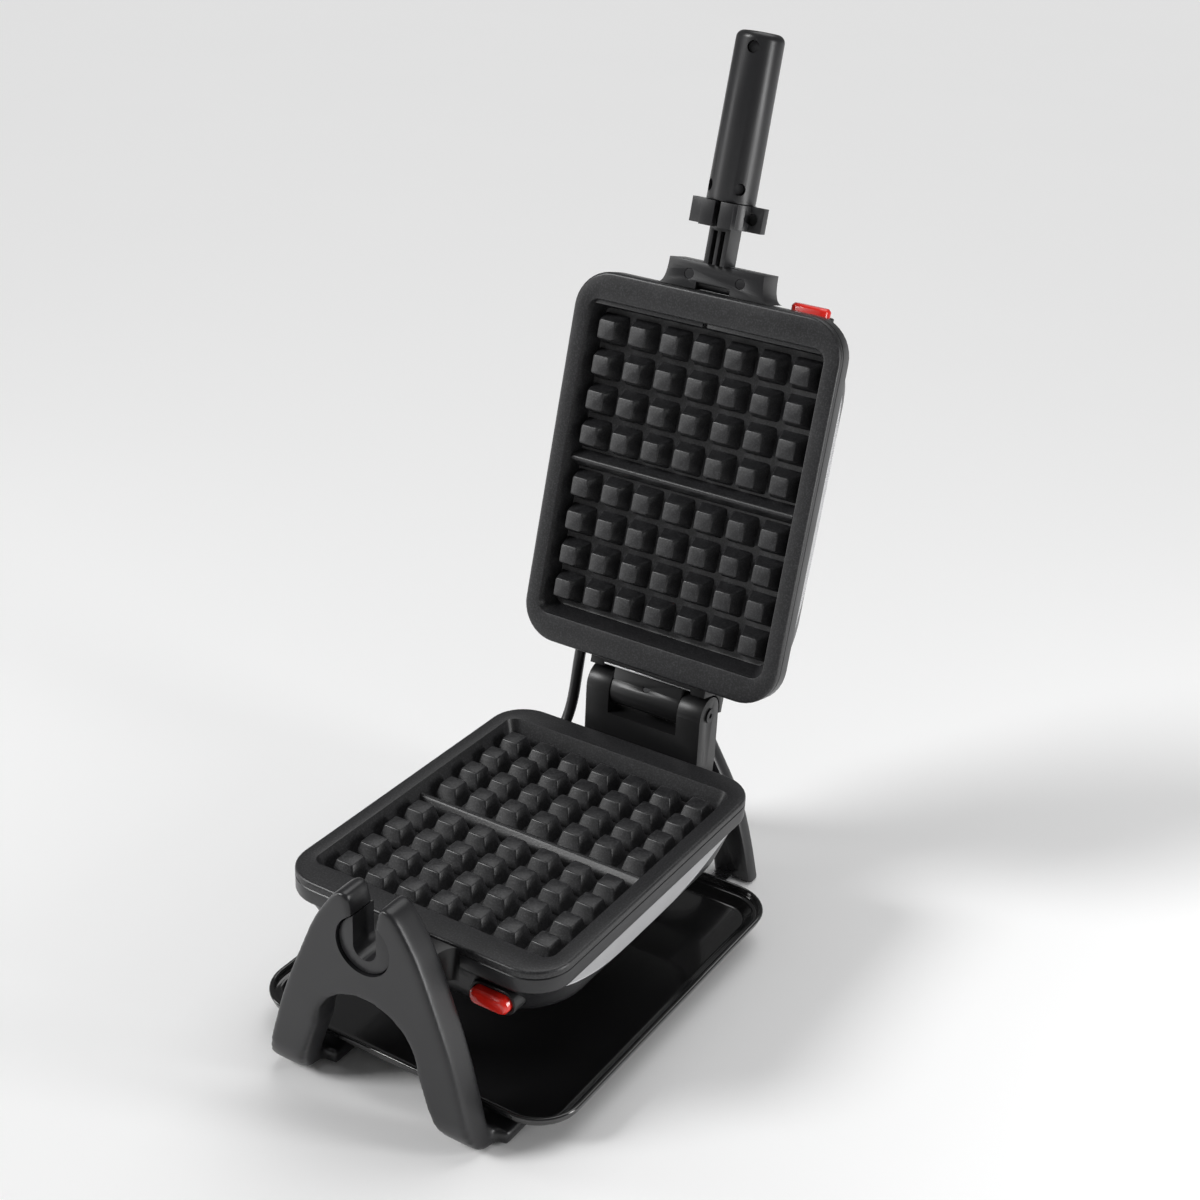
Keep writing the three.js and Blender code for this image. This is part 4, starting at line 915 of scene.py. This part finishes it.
@dataclass
class Housing:
    """The moulded shell of a baking half with its two ribbed side panels."""

    fitter: Fitter
    half: HalfSizes
    top: float = -5.8
    edge: float = 0.5
    fit_gap: float = 0.3
    panel_front: float = 105
    panel_rear: float = 100
    panel_top: float = 17.8
    panel_end: float = 2.2
    panel_sag: float = 24
    panel_thickness: float = 1.2
    rib_pitch: float = 1.7
    rib_width: float = 0.9
    rib_proud: float = 0.35
    button_x: float = 60
    button_depth: float = 28.5
    button_hole: Pair = (16.4, 8.4)
    button_back: float = 107.5
    boot_radius: float = 6.3
    boot_inner: float = 116
    turn_in: tuple[Pair, ...] = ((2.6, -17.2), (1.3, -16.7), (0.4, -15.9), (0, -14.8))
    rib_margin: float = 2
    rib_below_band: float = 1.9
    lens_steps: int = 32

    def shell(self, name: str) -> Workpiece:
        """The hollow shell: up the outside, over the rim and down the inside."""
        half = self.half
        outer = half.belly(0)[::-1]
        band = Ring(half.width, half.length, half.corner, 0)
        turn_in = [band.shrunk(inset).at(z) for inset, z in self.turn_in]
        edge = self.edge
        inner_band = band.shrunk(half.wall)
        rim = [
            band.at(self.top - edge),
            band.shrunk(edge).at(self.top - edge / 10),
            inner_band.shrunk(-edge).at(self.top),
            inner_band.at(self.top - edge),
        ]
        belly = half.belly(half.wall)
        inside = [ring for ring in belly if ring.z > -half.depth + 2 * half.wall]
        floor = belly[-3].at(-half.depth + half.wall)
        rings = [*outer, *turn_in, *rim, inner_band.at(-half.band + half.wall), *inside, floor]
        return Workpiece(name).loft(rings, 10)

    def lens(self, side: int, margin: float) -> Workpiece:
        """The prism that outlines a side panel, on the side of +X for 1 and of -X for -1."""
        top = -self.panel_top + margin
        end = -self.panel_top - self.panel_end - margin
        middle = (self.panel_rear - self.panel_front) / 2
        start, stop = -self.panel_front - margin, self.panel_rear + margin
        low = end - 2 * self.panel_sag
        curve = []
        for i in range(self.lens_steps + 1):
            t = i / self.lens_steps
            y = (1 - t) ** 2 * start + 2 * t * (1 - t) * middle + t * t * stop
            curve.append((0, y, (1 - t) ** 2 * end + 2 * t * (1 - t) * low + t * t * end))
        outline = [(0, start, top), *curve, (0, stop, top)]
        return Workpiece("lens").prism(outline, (side * (self.half.width + OVERRUN), 0, 0))

    def panel(self, name: str, side: int) -> Workpiece:
        """A side panel with its fine upright ribs."""
        half = self.half
        panel = self.lens(side, 0)
        panel.name = name
        panel.combined(Workpiece("outer").loft(half.belly(0), 8), Cut.COMMON)
        panel.combined(Workpiece("core").loft(half.belly(self.panel_thickness), 8), Cut.AWAY)
        x = sorted((side * (half.width / 2), side * (half.width + OVERRUN)))
        start = -self.panel_front + self.rib_margin
        z = (-half.depth, -half.band - self.rib_below_band)
        bars = Workpiece("bars").block(tuple(x), (start, start + self.rib_width), z)
        array = bars.obj.modifiers.new("repeat", "ARRAY")
        array.use_relative_offset = False
        array.use_constant_offset = True
        array.constant_offset_displace = (0, self.rib_pitch, 0)
        array.count = int((self.panel_rear + self.panel_front - 2 * self.rib_margin) / self.rib_pitch)
        bars.take()
        bpy.ops.object.modifier_apply(modifier=array.name)
        bars.combined(Workpiece("proud").loft(half.belly(-self.rib_proud), 8), Cut.COMMON)
        bars.combined(self.lens(side, -OVERRUN), Cut.COMMON)
        bars.combined(Workpiece("core").loft(half.belly(self.panel_thickness / 2), 8), Cut.AWAY)
        return panel.with_parts([bars])

    def build(self, prefix: str, mirror: int, boot: Pair) -> Workpiece:
        """A shell with its openings.

        Args:
            prefix: Start of the piece's name.
            mirror: 1 where the button is on the side of +X, and -1 on the other.
            boot: Place of the cable boot in x and z.

        Returns:
            The shell in its half's frame.
        """
        half = self.half
        shell = self.shell(f"{prefix}_shell")
        for side in (1, -1):
            pocket = self.lens(side, self.fit_gap)
            rings = half.belly(self.panel_thickness + self.fit_gap)
            core = Workpiece("core").loft([rings[0].at(self.top), *rings], 8)
            shell.combined(pocket.combined(core, Cut.AWAY), Cut.AWAY)
        outside = half.length + 2 * OVERRUN
        rings = [stadium(self.button_hole, 0, y) for y in (self.button_back, outside)]
        hole = Workpiece("hole").loft(rings, 8)
        hole.turned(90, "X").moved(mirror * self.button_x, 0, -self.button_depth)
        shell.combined(hole, Cut.AWAY)
        exit_hole = Workpiece("exit").rod(self.boot_radius, (self.boot_inner, outside), 24)
        exit_hole.turned(-90, "X").moved(boot[0], 0, boot[1])
        return shell.combined(exit_hole, Cut.AWAY)

    def fit(self, machine: Machine) -> None:
        """Makes both housings and their panels."""
        panels = {side: self.panel("panel", side) for side in (1, -1)}
        rows = [
            ("lower", machine.lower, Body.LOWER, 1, (-66, -23)),
            ("upper", machine.upper, Body.LID, -1, (62, -27)),
        ]
        for prefix, place, body, mirror, boot in rows:
            shell = self.build(prefix, mirror, boot)
            self.fitter.fit(shell, place, Paint.SATIN, body, [f"{prefix}_housing"])
            for side, label in ((mirror, "right"), (-mirror, "left")):
                panel = panels[side].copy(f"{prefix}_ribbed_panel_{label}")
                node = f"{prefix}_side_panel_{label}"
                self.fitter.fit(panel, place, Paint.GREY, body, [node], 25)
        for panel in panels.values():
            bpy.data.objects.remove(panel.obj)


@dataclass
class ReleaseButton:
    """A red release button in its black bezel."""

    fitter: Fitter
    x: float = 60
    depth: float = 28.5
    cap: Pair = (13.5, 5.5)
    cap_back: float = 110
    tip: float = 132
    edge: float = 1.7
    flange: Pair = (15.5, 7.5)
    flange_span: Pair = (108.2, 109.7)
    bezel: Pair = (16.1, 8.1)
    bezel_span: Pair = (110.3, 126.5)
    bezel_inner: Pair = (13.8, 5.8)

    def build(self, name: str, mirror: int) -> Workpiece:
        """The button with its retaining flange."""
        back, front = self.flange_span
        cap, edge, tip = self.cap, self.edge, self.tip
        rows = [
            (self.flange, 0, back), (self.flange, 0, front), (cap, edge, front + 0.02),
            (cap, edge, self.cap_back + 0.3), (cap, 0, self.cap_back + 0.9), (cap, 0, tip - edge - 0.3),
            (cap, 0.15, tip - edge), (cap, edge * 0.85, tip - 0.25), (cap, edge * 1.15, tip),
        ]
        return self.in_place(Workpiece(name).loft([stadium(*row) for row in rows], 8), mirror)

    def frame(self, name: str, mirror: int) -> Workpiece:
        """The bezel round the button."""
        back, front = self.bezel_span
        outer, inner = self.bezel, self.bezel_inner
        rows = [
            (outer, 0, back), (outer, 0, front - 0.5), (outer, 0.5, front - 0.05),
            (inner, -0.7, front), (inner, 0, front - 0.7), (inner, 0, back),
        ]
        return self.in_place(Workpiece(name).loft([stadium(*row) for row in rows], 8, hoop=True), mirror)

    def in_place(self, piece: Workpiece, mirror: int) -> Workpiece:
        """Turns a piece forward and moves it to the button's place in its half."""
        return piece.turned(90, "X").moved(mirror * self.x, 0, -self.depth)

    def fit(self, machine: Machine) -> None:
        """Makes the buttons of both halves."""
        rows = [
            ("lower", machine.lower, Body.LOWER, Body.LOWER_BUTTON, 1),
            ("upper", machine.upper, Body.LID, Body.UPPER_BUTTON, -1),
        ]
        for prefix, place, body, button_body, mirror in rows:
            button = self.build(f"{prefix}_red_button", mirror)
            self.fitter.fit(button, place, Paint.RED, button_body, [f"{prefix}_release_button"])
            bezel = self.frame(f"{prefix}_bezel_ring", mirror)
            self.fitter.fit(bezel, place, Paint.BLACK, body, [f"{prefix}_button_bezel"])


@dataclass
class WishboneLeg:
    """The front leg: a wishbone with a round pocket, whose feet curl back into sleeves."""

    fitter: Fitter
    front: float = 169.5
    thickness: float = 21.2
    height: float = 154
    half_span: float = 78
    edge_shares: tuple[Pair, ...] = (
        (1, 0), (0.91, 0.195), (0.78, 0.43), (0.615, 0.65), (0.48, 0.814), (0.375, 0.905),
        (0.26, 0.985), (0.17, 1),
    )
    arch_width: float = 37
    arch_height: float = 35
    arch_centre: float = 50
    arch_foot: float = 53
    axis_height: float = 123
    pocket: float = 19.2
    gap: float = 8.5
    gap_flare: tuple[Pair, ...] = ((0, 12), (1.5, 5), (5, -2))
    bend: float = 25
    foot_height: float = 11
    foot_proud: float = 1.2
    sleeve: Pair = (42, 85)
    sleeve_end: float = 118
    heel_ease: float = 4
    cell: float = 1.5
    rounds: int = 26

    def outline(self) -> list[Pair]:
        """The front view without its pocket: up the right edge, down the left one and through the arch."""
        places = [(x * self.half_span, max(z * self.height, self.foot_proud)) for x, z in self.edge_shares]
        right = smooth_line(places, 4)
        left = [(-x, z) for x, z in reversed(right)]
        arch = [
            (self.arch_width * math.cos(a), self.arch_centre + self.arch_height * math.sin(a))
            for a in (math.pi * (1 - i / 20) for i in range(21))
        ]
        return [*right, *left, (-self.arch_foot, self.foot_proud), *arch, (self.arch_foot, self.foot_proud)]

    def gap_outline(self, y: float) -> list[Point]:
        """The gap between the horns, which flares at its top, from the axis up."""
        flare = [(self.gap + out, self.height - below) for out, below in self.gap_flare]
        right = [(self.gap, self.axis_height), *flare]
        left = [(-x, z) for x, z in reversed(right)]
        return [(x, y, z) for x, z in [*right, *left]]

    def side_view(self) -> list[Pair]:
        """The side view as y and z: down the front, round the curl, along the sleeve and back up."""
        front, back = -self.front, -self.front + self.thickness
        inner = self.bend - self.thickness + self.heel_ease
        curl = arc((front + self.bend, self.bend), self.bend, 180, 270, 12)
        heel = arc((back + inner, self.foot_height + inner), inner, 270, 180, 6)
        top = self.height + OVERRUN
        ends = [(-self.sleeve_end, 0), (-self.sleeve_end, self.foot_height)]
        return [(front, top), *curl, *ends, *heel, (back, top)]

    def build(self) -> Workpiece:
        """The whole leg in the stand's frame."""
        front, back = -self.front, -self.front + self.thickness
        reach = self.sleeve[1] + OVERRUN
        depth = self.front - self.sleeve_end
        leg = Workpiece("wishbone_leg")
        leg.prism([(x, front - OVERRUN, z) for x, z in self.outline()], (0, depth + 2 * OVERRUN, 0))
        side = Workpiece("side").prism([(-reach, y, z) for y, z in self.side_view()], (2 * reach, 0, 0))
        leg.combined(side, Cut.COMMON)
        for sign in (1, -1):
            x = sorted((sign * self.sleeve[0], sign * self.sleeve[1]))
            y = (back + self.bend - self.thickness, -self.sleeve_end)
            sleeve = Workpiece("sleeve").block(tuple(x), y, (self.foot_proud, self.foot_height))
            leg.combined(sleeve, Cut.JOIN)
        start, through = front - 2 * OVERRUN, self.thickness + 4 * OVERRUN
        slot = Workpiece("slot").prism(self.gap_outline(start), (0, through, 0))
        leg.combined(slot, Cut.AWAY)
        leg.melted(self.cell, self.rounds)
        pocket = Workpiece("pocket").rod(self.pocket, (0, through), 72)
        pocket.turned(-90, "X").moved(0, start, self.axis_height)
        return leg.combined(pocket, Cut.AWAY)

    def fit(self, machine: Machine) -> None:
        """Makes the leg and sets it in the stand."""
        self.fitter.fit(self.build(), machine.stand, Paint.SATIN, Body.STAND, ["front_leg"], 40)


@dataclass
class BearingDisc:
    """The disc of the lower half that turns in the leg's pocket, with its U-shaped slot."""

    fitter: Fitter
    radius: float = 18.7
    front: float = 167.5
    back: float = 148
    axis: float = 8
    slot: float = 8.2
    slot_below: float = 10.5
    edge: float = 0.9
    slot_edge: float = 0.7

    def build(self) -> Workpiece:
        """The disc in the lower half's frame."""
        edge = self.edge
        reach = self.front - self.back
        profile = [
            (0, 0), (self.radius, 0), (self.radius, reach - edge),
            (self.radius - edge * 0.3, reach - edge * 0.3), (self.radius - edge, reach), (0, reach),
        ]
        disc = Workpiece("bearing_disc").lathe(profile, 72)
        low = self.slot - self.slot_below
        round_end = arc((0, low), self.slot, 180, 360, 14)
        top = self.radius + OVERRUN
        outline = [(-self.slot, top), *round_end, (self.slot, top)]
        slot = Workpiece("slot").prism([(x, z, -OVERRUN) for x, z in outline], (0, 0, reach + 2 * OVERRUN))
        disc.combined(slot, Cut.AWAY)
        return disc.rounded(lambda place: place.z > reach - 0.1, self.slot_edge, 2)

    def fit(self, machine: Machine) -> None:
        """Makes the disc and sets it on the lower half."""
        disc = self.build().turned(90, "X").moved(0, -self.back, self.axis)
        self.fitter.fit(disc, machine.lower, Paint.SATIN, Body.LOWER, ["trunnion_disc"])


@dataclass
class DripTray:
    """The enamelled tray with its rolled bead."""

    fitter: Fitter
    width: float = 113.5
    length: float = 141
    corner: float = 30
    section: tuple[Pair, ...] = (
        (14, 11.3), (12.2, 11.4), (11.2, 12), (7.4, 16.2), (6.4, 16.9), (5.2, 17.1), (2.6, 17.1),
        (1.8, 17.5), (1.6, 18.4), (1.6, 20.9), (0.6, 21.0), (0.1, 21.5), (0, 22.1), (0.25, 22.75),
        (0.8, 23.2), (1.6, 23.3), (2.3, 23.15), (2.8, 22.7), (3.05, 22.1), (3.1, 19.4), (3.35, 18.7),
        (4, 18.35), (5.8, 18.3), (6.8, 18.1), (7.6, 17.4), (11.6, 13.3), (12.6, 12.85), (14.2, 12.8),
    )

    def fit(self, machine: Machine) -> None:
        """Makes the tray and sets it on the rails."""
        rings = [Ring(self.width - i, self.length - i, self.corner - i, z) for i, z in self.section]
        tray = Workpiece("enamel_tray").loft(rings, 12)
        self.fitter.fit(tray, machine.stand, Paint.ENAMEL, Body.TRAY, ["drip_tray"], 50)


@dataclass
class Grip:
    """The turned handle grip with its screw holes."""

    fitter: Fitter
    start: float = 186.8
    length: float = 105.2
    radius: float = 16
    end_radius: float = 15.5
    end_round: float = 5
    bore: float = 11.3
    cavity: float = 99.8
    behind: float = 7.5
    hole: float = 3.8
    rim_depth: float = 0.35
    holes: tuple[Pair, ...] = ((8.8, -45), (8.8, 42), (95.5, 12))
    edge: float = 0.6

    def build(self) -> Workpiece:
        """The grip along -Y in the upper half's frame."""
        middle = (self.end_radius - self.end_round, self.length - self.end_round)
        round_part = arc(middle, self.end_round, 0, 90, 8)
        edge = self.edge
        profile = [
            (0, self.cavity), (self.bore, self.cavity), (self.bore, 0), (self.radius - edge, 0),
            (self.radius - 0.15, edge * 0.3), (self.radius, edge), *round_part, (0, self.length),
        ]
        low, rim, high = self.bore - 2 * OVERRUN, self.radius - self.rim_depth, self.radius + OVERRUN
        hole = [(0, low), (self.hole, low), (self.hole, rim), (self.hole + high - rim, high), (0, high)]
        grip = Workpiece("turned_grip").lathe(profile, 72)
        for along, degrees in self.holes:
            cutter = Workpiece("hole").lathe(hole, 26)
            cutter.turned(-90, "X").turned(degrees, "Z").moved(0, 0, along)
            grip.combined(cutter, Cut.AWAY)
        return grip.turned(90, "X").moved(0, -self.start, -self.behind)

    def fit(self, machine: Machine) -> None:
        """Makes the grip and sets it on the stem."""
        self.fitter.fit(self.build(), machine.upper, Paint.SATIN, Body.LID, ["handle_grip"])


@dataclass
class LinkCable:
    """The cable between the halves, as one fixed tube along a curved route between the lower half and the
    lid.
    """

    fitter: Fitter
    radius: float = 4
    sides: int = 20
    steps: int = 4
    points: tuple[Point, ...] = (
        (-62, 157, 158.4), (-62, 155.3, 151.6), (-62.3, 154.2, 144.5), (-62.9, 153.6, 136),
        (-63.6, 153, 127), (-64.4, 152.2, 118), (-65.2, 150.2, 109), (-65.8, 146.2, 101),
        (-66, 141.2, 94.8), (-66, 136.4, 92.4), (-66, 131.5, 92),
    )

    def fit(self, machine: Machine) -> None:
        """Makes the cable as a tube along its route."""
        route = [machine.stand @ Vector(p) * MILLIMETRE for p in smooth_line(self.points, self.steps)]
        curve = bpy.data.curves.new("cable_line", "CURVE")
        curve.dimensions = "3D"
        spline = curve.splines.new("POLY")
        spline.points.add(len(route) - 1)
        for point, place in zip(spline.points, route):
            point.co = (*place, 1)
        curve.bevel_depth = self.radius * MILLIMETRE
        curve.bevel_resolution = self.sides // 4 - 1
        curve.use_fill_caps = True
        line = bpy.data.objects.new("cable_tube", curve)
        bpy.context.scene.collection.objects.link(line)
        select_only(line)
        bpy.ops.object.convert(target="MESH")
        tube = bpy.context.object
        tube.name = "link_cable_jacket"
        bpy.ops.object.shade_smooth_by_angle(angle=math.radians(50))
        tube.data.materials.append(self.fitter.shop.get(Paint.CABLE))
        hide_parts("link_cable")
        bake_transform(tube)


@dataclass(frozen=True)
class Easing:
    """How a piece that keeps its CAD shape is finished: its paint and the rounding of its edges."""

    paint: Paint
    width: float
    segments: int = 2


@dataclass
class KeptShapes:
    """Pieces whose CAD shape is right. The larger ones are copied and get eased edges."""

    fitter: Fitter
    eased: dict[str, Easing]
    painted: dict[str, Paint]

    def fit(self, nodes: dict[str, bpy.types.Object]) -> None:
        """Makes the eased copies and paints the rest.

        Args:
            nodes: The frame's nodes by name.
        """
        for name, easing in self.eased.items():
            node = nodes[name]
            body = Body(node["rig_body"])
            piece = Workpiece(f"{name}_eased").copied_from(node).eased(easing.width, easing.segments, 25)
            self.fitter.fit(piece, Matrix.Identity(4), easing.paint, body, [name], 32)
        for name, paint in self.painted.items():
            obj = nodes[name]
            obj.data.materials.clear()
            obj.data.materials.append(self.fitter.shop.get(paint))
            LOG.info("%s: CAD node, %s", name, paint.value.name)


# Stage


@dataclass
class Stage:
    """Pale floor, soft lamps and the camera."""

    lens: float = 58.116
    sensor: float = 36
    place: Point = (0.5632, -0.91286, 0.7886)
    right: Point = (0.8478032, 0.528717, 0.0410856)
    down: Point = (0.2660201, -0.3569839, -0.8954305)
    look: Point = (-0.4587624, 0.7700785, -0.4433015)
    floor_size: float = 12
    floor_colour: Point = (0.95, 0.95, 0.95)
    floor_change: float = 0.005
    floor_roughness: float = 0.9
    floor_specular: float = 0.1
    strip_size: Pair = (0.24, 0.8)
    strip_target: Point = (0, 0, 0.36)
    sky: float = 0.15

    def floor(self) -> None:
        """Lays the floor."""
        bpy.ops.object.select_all(action="DESELECT")
        bpy.ops.mesh.primitive_plane_add(size=self.floor_size, location=(0, 0, 0))
        ground = bpy.context.object
        ground.name = "floor"
        board = Board("pale_floor")
        board.shader.inputs["Roughness"].default_value = self.floor_roughness
        board.shader.inputs["Specular IOR Level"].default_value = self.floor_specular
        tone = board.ramp(board.noise(3, 2), 0, 1, NOISE_SPREAD)
        board.tint(tone, self.floor_colour, tuple(c * (1 - self.floor_change) for c in self.floor_colour))
        ground.data.materials.append(board.material)

    def camera(self) -> None:
        """Sets the camera."""
        data = bpy.data.cameras.new("view")
        data.lens = self.lens
        data.sensor_width = self.sensor
        obj = bpy.data.objects.new("view", data)
        bpy.context.scene.collection.objects.link(obj)
        axes = Matrix((self.right, tuple(-c for c in self.down), tuple(-c for c in self.look))).transposed()
        obj.matrix_world = Matrix.Translation(self.place) @ axes.to_4x4()
        bpy.context.scene.camera = obj

    def lamp(self, name: str, source: Point, softness: float, power: float) -> None:
        """Hangs a soft lamp so far off that it lights the floor evenly.

        Args:
            name: Name of the lamp.
            source: Where its light comes from, as a direction.
            softness: How wide it looks from the object, in degrees.
            power: Its strength on a surface that faces it.
        """
        data = bpy.data.lights.new(name, "SUN")
        data.angle = math.radians(softness)
        self.hang(data, power, -Vector(source))

    def strip(self, name: str, place: Point, power: float) -> None:
        """Stands a tall soft lamp beside the object.

        Args:
            name: Name of the lamp.
            place: Its middle.
            power: Its power in watts.
        """
        data = bpy.data.lights.new(name, "AREA")
        data.shape = "RECTANGLE"
        data.size, data.size_y = self.strip_size
        self.hang(data, power, Vector(self.strip_target) - Vector(place)).location = place

    def hang(self, data: bpy.types.Light, power: float, towards: Vector) -> bpy.types.Object:
        """Gives a lamp its power and an object that points it along a direction."""
        data.energy = power
        obj = bpy.data.objects.new(data.name, data)
        bpy.context.scene.collection.objects.link(obj)
        obj.rotation_euler = towards.to_track_quat("-Z", "Y").to_euler()
        return obj

    def build(self) -> None:
        """Sets the whole stage."""
        self.floor()
        self.camera()
        self.lamp("key", (-0.62, -0.6, 0.62), 18, 1.8)
        self.lamp("top", (0, 0.5, 1), 50, 1.1)
        self.strip("right_strip", (1.15, 0.2, 0.42), 7)
        self.strip("left_strip", (-1.1, -0.6, 0.42), 3)
        world = bpy.data.worlds.new("studio")
        world.use_nodes = True
        background = world.node_tree.nodes["Background"]
        background.inputs["Color"].default_value = (1, 1, 1, 1)
        background.inputs["Strength"].default_value = self.sky
        bpy.context.scene.world = world
        bpy.context.scene.view_settings.view_transform = "Standard"


def eased() -> dict[str, Easing]:
    """How each CAD shape that gets eased edges is finished."""
    rows = {
        "rear_leg": Easing(Paint.SATIN, 1.8, 3), "rear_bush": Easing(Paint.PALE, 0.4),
        "left_rail": Easing(Paint.STEEL, 0.3), "right_rail": Easing(Paint.STEEL, 0.3),
        "front_bracket": Easing(Paint.BLACK, 0.8),
        "hinge_bracket": Easing(Paint.BLACK, 0.7), "hinge_hood": Easing(Paint.BLACK, 0.6),
        "hinge_plate": Easing(Paint.STEEL, 0.25), "hinge_arm": Easing(Paint.BLACK, 0.6),
        "handle_bracket": Easing(Paint.SATIN, 0.8), "handle_stem": Easing(Paint.SATIN, 0.6),
        "guard_collar": Easing(Paint.SATIN, 1.6, 3), "mains_gland": Easing(Paint.RUBBER, 0.4),
    }
    for corner in ("front_right", "front_left", "rear_right", "rear_left"):
        rows[f"{corner}_foot"] = Easing(Paint.RUBBER, 0.6)
    for prefix in ("lower", "upper"):
        rows[f"{prefix}_cable_boot"] = Easing(Paint.RUBBER, 0.4)
    return rows


def painted() -> dict[str, Paint]:
    """The finish of each CAD node that is shown as it is."""
    halves = ("lower", "upper")
    sides = ("right", "left")
    names = {
        # Screws and pins get the darkened screw finish, whose darkness partly paints the shade of the holes
        # they sit in.
        Paint.SCREW: [
            "hinge_pin", "hinge_screw", *(f"leg_screw_{side}" for side in sides),
            *(f"bracket_screw_{side}" for side in sides), *(f"grip_screw_{number}" for number in (1, 2, 3)),
        ],
        Paint.STEEL: [
            "rear_axle", "axle_nut",
            *(f"{half}_{piece}" for half in halves for piece in ("heater", "button_spring")),
        ],
        Paint.SHEET: [f"{half}_{piece}" for half in halves for piece in ("reflector", "thermostat")],
    }
    return {name: paint for paint, group in names.items() for name in group}


def main() -> None:
    """Builds the sub-assemblies in order."""
    logging.basicConfig(level=logging.INFO, format="%(message)s")
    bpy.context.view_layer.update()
    shop = PaintShop()
    fitter = Fitter(shop)
    machine = Machine()
    half = HalfSizes()
    Stage().build()
    LinkCable(fitter).fit(machine)
    CookingPlate(fitter, half).fit(machine)
    Housing(fitter, half).fit(machine)
    ReleaseButton(fitter).fit(machine)
    WishboneLeg(fitter).fit(machine)
    BearingDisc(fitter).fit(machine)
    DripTray(fitter).fit(machine)
    Grip(fitter).fit(machine)
    KeptShapes(fitter, eased(), painted()).fit(frame["nodes"])


if __name__ == "__main__":
    main()
